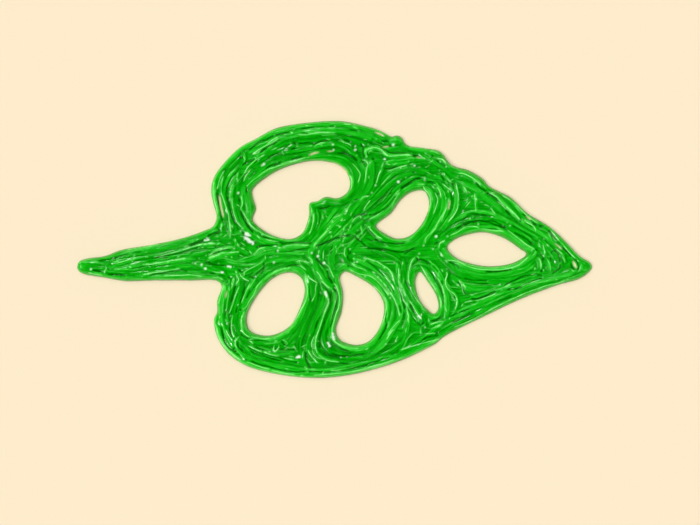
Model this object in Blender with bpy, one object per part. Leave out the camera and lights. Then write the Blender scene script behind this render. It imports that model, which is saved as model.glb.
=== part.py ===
"""A monstera leaf drawn flat with a 3D pen: one glossy plate of fused plastic lines with six holes.

Frame: metres, +X towards the leaf's tip, +Y across the leaf, +Z up, with the drawing's flat
underside at z = 0 and the origin under the middle of the leaf.
The leaf is a thin sheet, a round bead along its outline and round each hole, and the lines that
fill it, which run over and into one another. All of it is one body.
"""

import math

import bmesh
import bpy
import numpy as np

MM = 0.001

# Driving dimensions
LEAF_LENGTH = 95.0 * MM
SHEET_THICKNESS = 0.8 * MM
RIM_WIDTH = 1.1 * MM
RIM_HEIGHT = 1.1 * MM
LINE_TOPS = (1.2 * MM, 1.45 * MM, 1.72 * MM, 2.05 * MM)
LINE_WAVER = 0.05 * MM
WAVER_LENGTH = 7.0 * MM
END_DROP = 0.3 * MM
END_TAPER = 0.8
CUT_ALLOWANCE = 0.2 * MM
CUTTER_DEPTH = 2.0 * MM

# How finely curves are drawn
RIM_STEP = 1.9 * MM
RIM_BEVEL_RESOLUTION = 2
LINE_BEVEL_RESOLUTION = 1
WELD = 0.01 * MM
SHARP_ANGLE = math.radians(40)

# Look
LEAF_GREEN = (0.012, 0.40, 0.020, 1.0)
GLOSS_ROUGHNESS = 0.22

# The flat drawing is laid out in picture points, read by eye, along and down the leaf as it lies.
PICTURE_LENGTH = 515.0
PICTURE_CENTRE = (334.7, 249.45)
POINT = LEAF_LENGTH / PICTURE_LENGTH

OUTLINE = [
    (77, 267), (79, 261.5), (87, 258.5), (104, 256.5), (121, 250), (150, 245), (180, 239), (203, 231.5),
    (213, 226), (216.5, 217), (213, 203), (211.5, 189), (214, 177), (223, 164), (240, 147.5), (256, 139),
    (275, 128.5), (300, 123.5), (340, 121), (362, 125.5), (380, 131), (392, 136), (400, 135.5), (406, 144),
    (424, 148), (440, 151.5), (452, 165), (469, 170.5), (483, 179), (489, 186), (510, 197), (527, 214),
    (550, 227.5), (565, 240), (581, 257), (590, 262.5), (592, 268), (581, 278), (558, 285), (521, 299),
    (485, 316), (453, 331), (442, 337), (436, 343.5), (425, 349.5), (400, 361), (370, 370.5), (340, 376.5),
    (310, 378), (270, 372.5), (243, 364), (226, 350.5), (216, 334), (214, 319), (217, 312), (217, 301),
    (221.5, 286), (217, 281), (190, 280.5), (150, 280.5), (125, 281), (104, 277.5), (84, 274), (78.5, 271),
]

HOLES = {
    "upper left": [
        (252, 190), (270, 175), (292, 165), (319, 161), (341, 166), (350.5, 179), (348.5, 191), (338, 198),
        (325, 197), (319, 201), (311.5, 203.5), (310.5, 216), (303, 233), (291, 239.5), (272, 235),
        (256, 224.5), (252, 219), (255.5, 209), (252, 197),
    ],
    "upper middle": [
        (375.5, 225.5), (389, 214), (399, 199.5), (411, 191), (424, 191), (430, 202), (424.5, 221),
        (411, 235.5), (397, 239), (384, 234),
    ],
    "right": [
        (446.5, 247), (454, 239.5), (470, 234), (486, 232.5), (504, 237), (520, 247.5), (527, 254),
        (515, 261.5), (497, 266), (476, 265.5), (455, 258.5),
    ],
    "lower left": [
        (290, 272), (301, 277.5), (305.5, 290), (300, 309), (288, 328), (268, 336), (249.5, 330.5),
        (246, 317), (255.5, 296), (271.5, 278),
    ],
    "lower middle": [
        (345, 271), (357, 276), (375, 288), (384, 304), (381, 324), (370, 341), (356, 345), (340, 340.5),
        (335, 330), (341, 311), (342.5, 293), (339.5, 277),
    ],
    "small": [
        (419.5, 271), (428, 281), (437, 296), (439, 309), (434, 314), (427, 310), (417.5, 297), (414.5, 280),
    ],
}

# Each drawn line is its width, its level (0 at the bottom, 2 over the others, 3 a lump) and its points.
THIN = 0.95 * MM
PLAIN = 1.1 * MM
WIDE = 1.3 * MM
BROAD = 1.6 * MM
BLOB = 2.0 * MM

STALK = [
    (BROAD, 1, [(83, 266), (87, 266.5), (92, 267)]),
    (PLAIN, 0, [(83, 265), (98, 265.5), (118, 262), (150, 256.5), (172, 252), (190, 248)]),
    (PLAIN, 0, [(88, 268), (110, 268.5), (140, 266), (170, 262), (195, 259)]),
    (THIN, 1, [(104, 262.5), (121, 257), (150, 251.5), (178, 246), (200, 238), (219, 230)]),
    (THIN, 1, [(113, 262), (135, 258.5), (155, 255.5), (175, 251.5), (192, 246.5), (205, 243.5),
               (219, 244.5)]),
    (THIN, 1, [(112, 266), (135, 263), (160, 259.5), (180, 256), (200, 253), (222, 249), (240, 247.5)]),
    (THIN, 1, [(115, 270), (140, 267), (165, 263), (185, 260)]),
    (THIN, 1, [(118, 274), (140, 271.5), (165, 268.5), (188, 266)]),
    (THIN, 1, [(140, 275), (165, 274.5), (185, 274.5), (205, 276), (222, 281)]),
    (WIDE, 2, [(209, 259), (220, 256), (232, 253), (246, 250.5)]),
    (PLAIN, 2, [(196, 262), (203, 266), (211, 270.5), (222, 272.5), (231, 277)]),
]

LEFT_ARM = [
    (THIN, 0, [(227, 236), (225, 220), (222.5, 205), (220.5, 192), (222, 181), (229, 171), (243, 157)]),
    (THIN, 1, [(231, 240), (229.5, 222), (227, 208), (225.5, 195), (227, 184), (233, 174)]),
    (THIN, 1, [(238, 237), (235, 222), (232.5, 207), (232, 194), (234.5, 183), (241, 172), (252, 161)]),
    (BROAD, 1, [(250, 232), (243.5, 222), (239, 211), (237, 200), (237, 190), (240, 181)]),
    (THIN, 1, [(253, 228), (246, 217), (243, 209), (243.5, 200), (243, 191), (247, 180), (256, 169),
               (266, 162)]),
    (WIDE, 2, [(249, 216), (248.5, 208), (246, 199), (246, 190), (251, 183)]),
    (PLAIN, 2, [(243, 152), (245.5, 158), (244, 165)]),
]

ARCH = [
    (WIDE, 1, [(243, 157), (260, 147.5), (275, 139.5), (290, 135), (303, 132)]),
    (WIDE, 1, [(290, 136), (305, 132), (322, 130), (340, 130), (355, 133), (370, 138), (384, 142.5)]),
    (WIDE, 1, [(248, 166), (260, 156), (273, 148), (288, 141.5), (305, 139), (322, 136.5), (340, 136.5),
               (355, 140), (368, 144.5)]),
    (PLAIN, 1, [(258, 166), (270, 158), (284, 150.5), (297, 147), (310, 145.5)]),
    (PLAIN, 0, [(262, 175), (275, 166), (290, 159.5), (305, 156), (322, 153.5), (337, 154), (347, 160),
                (354, 170), (357, 182), (353, 193), (346, 200)]),
    (BROAD, 3, [(329, 146), (333, 147.5), (337, 147)]),
    (PLAIN, 2, [(268, 166), (282, 158), (296, 154), (310, 150), (322, 146), (335, 143), (346, 147),
                (354, 155), (359, 162)]),
]

SWIRL = [
    (PLAIN, 1, [(352, 150), (358, 158), (363, 166), (363, 178), (359, 190), (351, 201), (344, 209)]),
    (BROAD, 0, [(371, 158), (371.5, 170), (369.5, 183), (363, 195), (354, 207), (345, 217)]),
    (PLAIN, 1, [(384, 160), (380.5, 168), (377, 180), (373.5, 190), (366, 201), (357, 213), (349, 222)]),
    (PLAIN, 2, [(415, 155), (403, 155.5), (391, 155), (384, 151), (376, 148), (369, 149.5), (366, 154),
                (367, 160)]),
    (BROAD, 1, [(387, 162), (400, 160.5), (413, 160.5)]),
    (PLAIN, 1, [(430, 168), (412, 169), (397, 172), (386, 180), (376, 191), (365, 204), (357, 217)]),
    (PLAIN, 1, [(424, 173.5), (411, 175.5), (399, 180), (389, 188), (379, 199), (368, 211), (360, 221)]),
    (PLAIN, 2, [(423, 178.5), (411, 180), (400, 186), (392, 194), (385, 203), (374, 211), (364, 217)]),
]

HUB = [
    (WIDE, 2, [(345, 203), (334, 204), (325, 204), (317, 205.5), (313, 208)]),
    (WIDE, 1, [(322, 212), (320, 222), (315, 233), (308, 241)]),
    (WIDE, 1, [(341, 208), (333, 217), (326, 227), (318, 237), (309, 245)]),
    (PLAIN, 1, [(352, 209), (343, 219), (334, 229), (325, 238), (316, 247), (311, 256)]),
    (THIN, 1, [(240, 222), (249, 232), (262, 241), (280, 245.5), (300, 244)]),
    (PLAIN, 2, [(254, 254), (266, 250), (281, 247.5), (297, 246), (313, 246.5)]),
    (WIDE, 1, [(236, 263), (250, 258.5), (262, 254.5), (276, 252), (292, 252.5), (306, 256)]),
    (WIDE, 1, [(243, 271), (255, 265), (264, 258), (270, 253)]),
    (PLAIN, 2, [(236, 238), (238, 246), (245, 252), (254, 257)]),
    (PLAIN, 2, [(244, 235), (250, 241), (257, 246), (264, 247)]),
    (PLAIN, 1, [(224, 262), (232, 265), (241, 268), (250, 271)]),
    (PLAIN, 2, [(232, 270), (240, 276), (248, 280)]),
    (PLAIN, 2, [(312, 250), (312.5, 260), (317, 271), (323, 281), (332, 289)]),
    (PLAIN, 1, [(318, 250), (319, 259), (325, 266), (330, 274), (334, 283)]),
    (PLAIN, 1, [(325, 248), (325, 257), (330, 263), (335, 270)]),
    (PLAIN, 1, [(278, 262), (290, 260), (301, 261), (309, 266)]),
    (WIDE, 1, [(331, 228), (334, 238), (336, 248), (335, 258)]),
    (PLAIN, 2, [(343, 225), (345, 236), (345.5, 247), (344, 257)]),
    (WIDE, 1, [(352, 222), (350, 232), (353, 242), (357, 252)]),
    (PLAIN, 2, [(363, 223), (361, 232), (360, 240)]),
    (PLAIN, 1, [(356, 235), (362, 241), (374, 245), (388, 248), (402, 249)]),
    (PLAIN, 1, [(357, 248), (372, 251), (388, 253.5), (404, 252.5), (418, 248)]),
    (WIDE, 1, [(340, 262), (352, 261), (366, 258.5)]),
]

UPPER_MIDDLE = [
    (THIN, 1, [(436, 183), (442, 193), (443.5, 204), (441, 216), (434.5, 228), (426, 239), (413, 246)]),
    (THIN, 0, [(442, 181), (447.5, 192), (449, 204), (446, 216), (439, 228), (431, 238)]),
    (PLAIN, 1, [(446, 176), (453, 187), (456, 200), (453, 213), (446, 225), (438, 236)]),
]

UPPER_EDGE = [
    (BLOB, 3, [(397, 141.5), (401, 145), (408, 150)]),
    (PLAIN, 1, [(412, 153), (424, 158), (436, 166), (443, 176)]),
    (PLAIN, 2, [(424, 152), (433, 156.5), (441, 160.5), (447, 167)]),
    (PLAIN, 2, [(457, 172), (467, 175.5), (475, 180.5), (482, 188)]),
    (PLAIN, 2, [(487, 191.5), (497, 196.5), (507, 205.5), (516, 215), (522, 221)]),
    (THIN, 1, [(500, 194), (512, 205), (523, 214), (533, 223), (541, 228)]),
    (THIN, 1, [(484, 197), (494, 201), (503, 209), (511, 218)]),
    (PLAIN, 1, [(448, 180), (460, 183), (470, 187), (480, 194)]),
    (PLAIN, 1, [(478, 201), (487, 205), (494, 211), (499, 219)]),
    (WIDE, 1, [(472, 194), (466, 204), (457, 214), (448, 223), (440, 232)]),
    (PLAIN, 1, [(477, 206), (468, 212), (458, 219), (449, 227)]),
    (PLAIN, 1, [(445, 233), (456, 224), (470, 219), (485, 217), (499, 221), (514, 228), (530, 236)]),
    (PLAIN, 1, [(452, 233), (464, 227), (478, 223), (493, 224), (507, 228.5), (521, 236), (536, 247)]),
    (PLAIN, 0, [(522, 226), (535, 234), (548, 245), (560, 256), (568, 265)]),
    (THIN, 1, [(547, 234), (556, 246), (563, 254), (566, 264)]),
    (PLAIN, 2, [(549, 232), (556, 240.5), (566, 250), (575, 261)]),
    (PLAIN, 2, [(538, 241), (541, 248), (544, 256)]),
    (PLAIN, 1, [(545, 244), (551, 252), (554, 262)]),
]

RIGHT_END = [
    (PLAIN, 1, [(529, 263), (519, 267), (505, 272), (488, 274), (470, 272)]),
    (PLAIN, 2, [(533, 257), (538, 262), (540, 270)]),
    (PLAIN, 1, [(543, 272), (528, 277), (512, 282), (500, 288)]),
    (PLAIN, 0, [(530, 267), (518, 273), (503, 279), (486, 280), (466, 277)]),
    (PLAIN, 1, [(574, 272), (558, 278), (541, 283), (522, 290), (495, 302), (470, 313), (448, 324),
                (438, 331)]),
    (PLAIN, 2, [(505, 288), (492, 292), (478, 297), (464, 303), (455, 311)]),
    (WIDE, 1, [(495, 284), (478, 286), (462, 285)]),
    (PLAIN, 2, [(462, 280), (467, 288), (473, 294)]),
    (PLAIN, 2, [(447, 270), (446, 279), (449, 288), (455, 294), (457, 302), (454, 311)]),
    (THIN, 1, [(430, 264), (438, 273), (443, 284), (446, 297), (446, 310)]),
    (PLAIN, 1, [(437, 262), (446, 266), (456, 269)]),
]

BETWEEN = [
    (THIN, 0, [(404, 256), (404, 272), (406, 286), (412, 299), (418, 311), (424, 321)]),
    (THIN, 1, [(398, 258), (398.5, 272), (401, 285), (406, 298), (409, 311), (409, 324), (406, 338)]),
    (THIN, 0, [(363, 256), (377, 261), (389, 269), (397, 281), (402, 295), (405, 309)]),
    (THIN, 1, [(354, 259), (368, 264), (381, 271.5), (390, 283), (397, 297), (400.5, 311), (400, 319),
               (393, 330), (387, 341), (379, 350)]),
    (PLAIN, 1, [(404, 326), (398, 334), (391, 345), (383, 354)]),
    (WIDE, 0, [(414, 318), (413, 328), (410, 338), (406, 347)]),
    (PLAIN, 2, [(421, 322), (421, 330), (421, 338)]),
    (WIDE, 1, [(426, 322), (438, 320), (448, 317)]),
    (PLAIN, 1, [(424, 330), (434, 328), (445, 324)]),
    (PLAIN, 2, [(436, 336), (424, 340), (412, 345), (400, 351)]),
]

BOTTOM = [
    (PLAIN, 1, [(424, 343), (398, 352), (369, 362.5), (340, 368.5), (312, 370), (276, 364.5), (251, 357)]),
    (PLAIN, 1, [(402, 349), (383, 356), (362, 361.5), (338, 363.5), (318, 362)]),
    (PLAIN, 2, [(246, 357), (262, 362), (284, 366), (303, 369)]),
    (PLAIN, 1, [(248, 346), (260, 352), (275, 356.5), (292, 359), (304, 359)]),
    (WIDE, 0, [(240, 340), (250, 348), (262, 350.5), (275, 349)]),
    (PLAIN, 2, [(275, 352), (273.5, 347), (277, 343)]),
    (WIDE, 1, [(280, 342), (289, 346), (301, 349)]),
    (PLAIN, 2, [(303, 350), (303, 358), (306, 366)]),
    (PLAIN, 2, [(308, 349), (312, 357), (319, 363)]),
    (PLAIN, 0, [(322, 360), (337, 356), (352, 357), (367, 354), (380, 347)]),
]

LEFT_LOWER = [
    (THIN, 1, [(229, 281), (228, 292), (226, 304), (225, 315), (227, 327), (233, 339), (240, 349),
               (249, 358)]),
    (THIN, 0, [(234, 278), (233.5, 290), (231, 302), (229.5, 314), (231, 326), (236, 337)]),
    (THIN, 1, [(239, 281), (238, 291), (235, 303), (233, 315), (234.5, 327), (240, 338)]),
    (THIN, 0, [(246, 280), (243, 291), (239, 303), (237, 315), (238.5, 327)]),
    (THIN, 1, [(221, 321), (224, 333), (231, 345), (240, 355)]),
]

RIBS = [
    (PLAIN, 1, [(317, 284), (317, 296), (313, 309), (307, 322), (301, 334), (296, 343)]),
    (PLAIN, 0, [(322, 288), (322.5, 299), (319, 311), (313, 324), (308, 336), (305, 348)]),
    (PLAIN, 2, [(324, 288), (327, 296), (327.5, 303), (323, 316), (318, 329), (314.5, 341), (318, 351),
                (326, 358), (338, 362)]),
    (PLAIN, 1, [(305, 266), (312, 274), (317, 284)]),
]

LINES = (STALK + LEFT_ARM + ARCH + SWIRL + HUB + UPPER_MIDDLE + UPPER_EDGE + RIGHT_END + BETWEEN + BOTTOM
         + LEFT_LOWER + RIBS)


def at(point):
    """The place on the surface, in metres, of a picture point."""
    return np.array([(point[0] - PICTURE_CENTRE[0]) * POINT, (PICTURE_CENTRE[1] - point[1]) * POINT])


def closed_curve(points, step):
    """Places about one step apart on a smooth closed curve through the picture points."""
    places = np.array([at(point) for point in points])
    places = np.vstack([places[-1], places, places[0], places[1]])
    curve = []
    for before, start, end, after in zip(places, places[1:], places[2:], places[3:]):
        leg_in, leg, leg_out = (math.sqrt(np.linalg.norm(b - a)) for a, b in
                                ((before, start), (start, end), (end, after)))
        leave = end - start + leg * ((start - before) / leg_in - (end - before) / (leg_in + leg))
        arrive = end - start + leg * ((after - end) / leg_out - (after - start) / (leg + leg_out))
        count = max(1, round(np.linalg.norm(end - start) / step))
        for t in np.arange(count) / count:
            curve.append((2 * t**3 - 3 * t**2 + 1) * start + (t**3 - 2 * t**2 + t) * leave
                         + (3 * t**2 - 2 * t**3) * end + (t**3 - t**2) * arrive)
    return np.array(curve)


def inset(curve, distance):
    """The closed curve moved sideways, to the left of its direction of travel."""
    along = np.roll(curve, -1, axis=0) - np.roll(curve, 1, axis=0)
    along /= np.linalg.norm(along, axis=1, keepdims=True)
    return curve + distance * np.column_stack([-along[:, 1], along[:, 0]])


def turns_left(curve):
    """Whether the closed curve runs anticlockwise."""
    after = np.roll(curve, -1, axis=0)
    return np.sum(curve[:, 0] * after[:, 1] - after[:, 0] * curve[:, 1]) > 0


def into_plastic(curve, distance, is_hole):
    """The closed curve moved into the plastic: inwards from the outline, outwards from a hole."""
    return inset(curve, distance if turns_left(curve) != is_hole else -distance)


def gloss_green():
    """Glossy opaque green plastic."""
    material = bpy.data.materials.new("gloss green plastic")
    material.use_nodes = True
    shader = material.node_tree.nodes["Principled BSDF"]
    shader.inputs["Base Color"].default_value = LEAF_GREEN
    shader.inputs["Roughness"].default_value = GLOSS_ROUGHNESS
    shader.inputs["Metallic"].default_value = 0.0
    return material


def as_mesh(curve_object, collection):
    """The curve object's evaluated shape as a welded mesh object in the collection."""
    bpy.context.scene.collection.objects.link(curve_object)
    bpy.context.view_layer.update()
    evaluated = curve_object.evaluated_get(bpy.context.evaluated_depsgraph_get())
    mesh = bpy.data.meshes.new_from_object(evaluated)
    shape = bmesh.new()
    shape.from_mesh(mesh)
    bmesh.ops.remove_doubles(shape, verts=shape.verts, dist=WELD)
    bmesh.ops.recalc_face_normals(shape, faces=shape.faces)
    shape.to_mesh(mesh)
    shape.free()
    solid = bpy.data.objects.new(curve_object.name, mesh)
    solid.matrix_world = curve_object.matrix_world
    collection.objects.link(solid)
    bpy.data.objects.remove(curve_object)
    return solid


def bead(name, places, width, resolution, closed, collection):
    """A round bead of plastic along places of (x, y, z, share of the width)."""
    curve = bpy.data.curves.new(name, "CURVE")
    curve.dimensions = "3D"
    curve.bevel_depth = width / 2
    curve.bevel_resolution = resolution
    curve.use_fill_caps = True
    spline = curve.splines.new("POLY")
    spline.points.add(len(places) - 1)
    spline.use_cyclic_u = closed
    for point, (x, y, z, share) in zip(spline.points, places):
        point.co = (x, y, z, 1.0)
        point.radius = share
    return as_mesh(bpy.data.objects.new(name, curve), collection)


def sheet(outline, holes, collection):
    """The thin sheet of fused first lines, a flat outline with its holes.

    It reaches a little below the surface, so that the flat cut crosses it cleanly.
    """
    curve = bpy.data.curves.new("sheet", "CURVE")
    curve.dimensions = "2D"
    curve.fill_mode = "BOTH"
    curve.extrude = (SHEET_THICKNESS + CUT_ALLOWANCE) / 2
    for places in [outline] + holes:
        spline = curve.splines.new("POLY")
        spline.points.add(len(places) - 1)
        spline.use_cyclic_u = True
        for point, (x, y) in zip(spline.points, places):
            point.co = (x, y, 0.0, 1.0)
    flat = bpy.data.objects.new("sheet", curve)
    flat.location.z = (SHEET_THICKNESS - CUT_ALLOWANCE) / 2
    return as_mesh(flat, collection)


def rim(name, curve, is_hole, collection):
    """The bead that makes an edge: its outer side lies on the curve."""
    middle = into_plastic(curve, RIM_WIDTH / 2, is_hole)
    height = RIM_HEIGHT - RIM_WIDTH / 2
    places = [(x, y, height, 1.0) for x, y in middle]
    return bead(name, places, RIM_WIDTH, RIM_BEVEL_RESOLUTION, True, collection)


def drawn_line(name, number, line, collection):
    """One drawn line: it wavers in height and its ends sink into what it lies on."""
    width, level, points = line
    places = np.array([at(point) for point in points])
    run = np.concatenate([[0.0], np.cumsum(np.linalg.norm(np.diff(places, axis=0), axis=1))])
    height = LINE_TOPS[level] - width / 2 + LINE_WAVER * np.sin(math.tau * run / WAVER_LENGTH + number)
    height[[0, -1]] -= END_DROP
    share = np.ones(len(points))
    share[[0, -1]] = END_TAPER
    path = np.column_stack([places, height, share])
    return bead(name, path, width, LINE_BEVEL_RESOLUTION, False, collection)


def join(solid, collection):
    """The solid joined with all that the collection holds, in one mesh, and the collection removed."""
    union = solid.modifiers.new("union", "BOOLEAN")
    union.operation = "UNION"
    union.solver = "MANIFOLD"
    union.operand_type = "COLLECTION"
    union.collection = collection
    bpy.context.view_layer.update()
    evaluated = solid.evaluated_get(bpy.context.evaluated_depsgraph_get())
    mesh = bpy.data.meshes.new_from_object(evaluated)
    solid.modifiers.clear()
    solid.data = mesh
    for joined in list(collection.objects):
        bpy.data.objects.remove(joined)
    bpy.data.collections.remove(collection)


def fill_sealed_gaps(solid):
    """The solid without the small pockets that lines close off between them: only its outside stays."""
    shape = bmesh.new()
    shape.from_mesh(solid.data)
    unseen = set(shape.verts)
    shells = []
    while unseen:
        shell = {unseen.pop()}
        edge_of_shell = list(shell)
        while edge_of_shell:
            vertex = edge_of_shell.pop()
            for edge in vertex.link_edges:
                other = edge.other_vert(vertex)
                if other not in shell:
                    shell.add(other)
                    edge_of_shell.append(other)
        unseen -= shell
        shells.append(shell)
    shells.sort(key=len)
    for shell in shells[:-1]:
        bmesh.ops.delete(shape, geom=list(shell), context="VERTS")
    shape.to_mesh(solid.data)
    shape.free()


def flat_floor(collection):
    """A block whose top face is the surface that the leaf lies on."""
    bpy.ops.mesh.primitive_cube_add(size=1.0, location=(0.0, 0.0, -CUTTER_DEPTH / 2))
    block = bpy.context.object
    block.name = "surface cutter"
    block.scale = (2 * LEAF_LENGTH, 2 * LEAF_LENGTH, CUTTER_DEPTH)
    block.hide_render = True
    block.display_type = "WIRE"
    for old in list(block.users_collection):
        old.objects.unlink(block)
    collection.objects.link(block)
    return block


def cut_flat(solid, block):
    """The solid's underside cut flat by the block."""
    cut = solid.modifiers.new("flat underside", "BOOLEAN")
    cut.operation = "DIFFERENCE"
    cut.solver = "MANIFOLD"
    cut.object = block


def build():
    """The leaf, in a collection of its own."""
    for old in list(bpy.data.objects):
        bpy.data.objects.remove(old)
    model = bpy.data.collections.new("monstera leaf")
    lines = bpy.data.collections.new("drawn lines")
    cutters = bpy.data.collections.new("cutters")
    for collection in (model, lines, cutters):
        bpy.context.scene.collection.children.link(collection)

    outline = closed_curve(OUTLINE, RIM_STEP)
    holes = {name: closed_curve(points, RIM_STEP) for name, points in HOLES.items()}
    leaf = sheet(into_plastic(outline, RIM_WIDTH / 2, False),
                 [into_plastic(curve, RIM_WIDTH / 2, True) for curve in holes.values()], model)
    rim("outer rim", outline, False, lines)
    for name, curve in holes.items():
        rim(name + " rim", curve, True, lines)
    for number, line in enumerate(LINES):
        drawn_line("line", number, line, lines)

    join(leaf, lines)
    fill_sealed_gaps(leaf)
    cut_flat(leaf, flat_floor(cutters))

    leaf.name = "leaf"
    leaf.data.name = "leaf"
    leaf.data.materials.clear()
    leaf.data.materials.append(gloss_green())
    leaf.data.shade_smooth()
    leaf.data.set_sharp_from_angle(angle=SHARP_ANGLE)


build()
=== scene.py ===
"""The looks of the monstera leaf drawn with a 3D pen: its lines of glossy green plastic, seen from above.

The plastic is built as a height map. Each drawn line is laid on what is under it, as the pen laid it, and
then the ridges, creases, flat patches, droplets and thin films of the drawing are pressed into the map.
The map becomes one closed mesh with rounded edges and a flat underside, which replaces the CAD leaf.
"""
import math
from collections import namedtuple

import bpy
import numpy as np
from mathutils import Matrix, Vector
from mathutils.geometry import delaunay_2d_cdt


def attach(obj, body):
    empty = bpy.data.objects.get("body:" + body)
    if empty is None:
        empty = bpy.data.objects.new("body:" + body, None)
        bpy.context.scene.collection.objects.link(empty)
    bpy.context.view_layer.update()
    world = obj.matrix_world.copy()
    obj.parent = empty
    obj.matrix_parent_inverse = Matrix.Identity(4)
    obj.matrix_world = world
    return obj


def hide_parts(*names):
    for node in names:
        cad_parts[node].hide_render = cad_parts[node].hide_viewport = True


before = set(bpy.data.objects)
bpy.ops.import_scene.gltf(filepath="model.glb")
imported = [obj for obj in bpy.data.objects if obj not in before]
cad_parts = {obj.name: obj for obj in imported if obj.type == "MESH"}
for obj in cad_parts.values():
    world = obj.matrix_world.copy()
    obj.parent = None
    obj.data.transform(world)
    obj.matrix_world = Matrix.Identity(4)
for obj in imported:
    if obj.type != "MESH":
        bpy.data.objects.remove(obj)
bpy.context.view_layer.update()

MM = 0.001
RANDOM_SEED = 5

# The flat drawing is laid out in picture points, read along and down the leaf as it lies
PICTURE_SIZE = (700, 525)
PICTURE_CENTRE = (334.7, 249.45)
PICTURE_LENGTH = 515.0
LEAF_LENGTH = 95.0
POINT = LEAF_LENGTH / PICTURE_LENGTH

# Sizes from here on are in millimetres. First the steps of the height map and of curves, the room round the
# leaf, and what counts as no distance, as out of reach and as far from the edge
GRID = 0.158
MARGIN = 0.8
CURVE_STEP = 0.2
LEAST_KNOT = 1e-6
SAME_POINT = 1e-9
FAR_AWAY = 1e6
EDGE_REACH = 3.0

# The sheet under the lines, then how uneven its height and its shade are: how much, and over what reach
SHEET = 0.94
SHEET_GRAIN = (0.03, 0.8)
SHADE_GRAIN = (0.3, 0.6)

# An irregular line: a shift, then waves by height, pace and phase. Each pair below is an amount and a reach
WAVER_SHIFT = (0.2, 2.1)
WAVES = ((0.55, 1.0, 1.0), (0.3, 2.3, 2.7), (0.2, 4.9, 5.1))
WIDTH_WAVER = (0.12, 1.6)
CROWN_WAVER = (0.05, 2.4)
SHADE_WAVER = (0.5, 3.1)
BREADTH_WAVER = (0.28, 0.7)
RISE_WAVER = (0.15, 0.9)
WEAR_WAVER = (0.45, 0.8)

# Drawn lines: the height of each level, the tallest that they come, how they end and melt together, how
# deep a rim counts where no line is, and how often the bed under them is smoothed anew
LEVELS = (1.14, 1.26, 1.40, 1.60)
TALLEST = 1.88
LEAST_RISE = 0.06
LINE_REACH = 1.2
BEAD_POWER = 5.0
END_RUN = 1.1
END_DROP = 0.16
END_WIDTH = 0.62
LEAN = 0.07
FUSE = 0.07
SHOWN_SLACK = 0.02
NO_RIM = 0.6
BEDDING_BLUR = 0.35
BEDDING_LINES = 12
VALLEY_BLUR = 0.45
VALLEY_DEPTH = 0.04
FLOW_BLUR = 0.25

# Factors and shifts that keep the wavers of one line apart from each other and from those of other lines
SEED_STEP = 1.37
LEAN_STEP = 1.7
SHADE_STEP = 5.3
CROWN_SHIFT = 3
SHADE_SHIFT = 7
BREADTH_SEEDS = (3.1, 40)
RISE_SEED = 50
WEAR_STEP = 2.3

# Unevenness of the plastic: the breadth and length of its streaks, the size of its lumps, how ragged patches
# are by amount and reach, and how high each kind stands
STREAK = (0.12, 3.6)
BROAD_STREAK = (0.3, 4.5)
LUMP = 0.5
RAGGED_EDGE = (0.22, 0.13)
STREAK_HEIGHT = 0.022
BROAD_STREAK_HEIGHT = 0.030
LUMP_HEIGHT = 0.015

# Breadth, rise and shade of the fine marks; the shade paints crests paler, a painted highlight, and creases
# darker, painted shade. A crest is the lit flank, so its ridge stands a little beside it
SHARP_CREST = (0.19, 0.10, 0.9)
SOFT_CREST = (0.28, 0.085, 0.9)
DEEP_CREASE = (0.17, -0.28, -1.4)
FAINT_CREASE = (0.15, -0.18, -1.2)

# The smooth base that marks are levelled to, how they fade at their ends, how far they reach in breadths and
# in the material, how well and how broadly they are levelled, which way the shade falls and how worn they are
MARK_BASE = 0.35
MARK_END = 0.5
MARK_END_SHARE = 0.45
MARK_BREADTHS = 3
MARK_REACH = 0.45
MOST_BREADTHS = 9
LEVELLED = 0.8
LEVELLED_BREADTHS = 1.7
FLAT_POWER = 4
CREST_BESIDE = 0.7
AWAY_FROM_LIGHT = (0.965, -0.266)
WEAR = 0.8
MOST_WEAR = 1.2

# Lips, low ridges along the way the plastic was drawn, each with a hollow so many breadths beside it and so
# deep for its rise, the ridge painted paler as a highlight and the hollow darker as painted shade. Then
# flecks:
# how they turn off that way, half their lengths, and breadth, rise and shade, the shade a painted highlight
LIPS = 170
LIP_LENGTHS = (1.5, 6.0)
LIP_BREADTHS = (0.13, 0.24)
LIP_RISES = (0.02, 0.07)
LIP_PAINTED_LIGHT = 0.3
LIP_POWER = 4
LIP_POINTS = 5
LIP_HOLLOW = (2.0, 0.8)
FLOW_CLEAR = 0.35
EDGE_CLEAR = 0.5
FLECK_TURN = 0.4
FLECK_HALVES = (0.2, 0.7)
FLECK_POWERS = (0.3, 1.0)
FLECK = (0.15, 0.06, 0.3)
FLECK_BESIDE = 0.1
FLECK_SHADOW = 0.25

# Flat patches tilted to mirror the light on the left: which way they face and how steep they are
FROM_GLINT = (0.899, 0.438)
PATCH_SLOPE = 0.325

# Droplets, in half breadths: how far they reach, how high they are and how far they stand off their gleam.
# Then how much paler the heart is painted, a painted highlight. The gleam, a polish with a painted white
# glint, grows with the breadth in picture points, and a broad droplet has a dark ring of painted shade round
# most of it
SPECK_REACH = 3
SPECK_HEIGHT = 0.45
SPECK_BODY = 0.5
SPECK_HIGHLIGHT = 0.8
SPECK_CALM = 0.52
SPECK_LEAST = 1.3
SPECK_HEART = 1.2
RINGED_SPECK = 2
RING_TURNS = (-130, 100, 20)
RING_REACH = 1.7
RING_POWER = 0.7

# Films: how high they lie, how far they are worked out, how they narrow at their ends, and how soft they are
FILM_HEIGHT = 0.75
FILM_REACH = 1.0
FILM_END = 0.5
FILM_END_WIDTH = 0.3
FILM_EDGE = 0.15

# Near the edge the top loses a share of its height over a base. Then it rounds off, down to the edge's own
# height. Hollows are how far the top lies below a blur of itself
BROW_DROP = 0.35
BROW_BASE = 0.7
BROW_REACH = 1.0
EDGE_ROUND = 0.55
EDGE_HEIGHT = 0.22
HOLLOW_BLUR = 0.3

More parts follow.
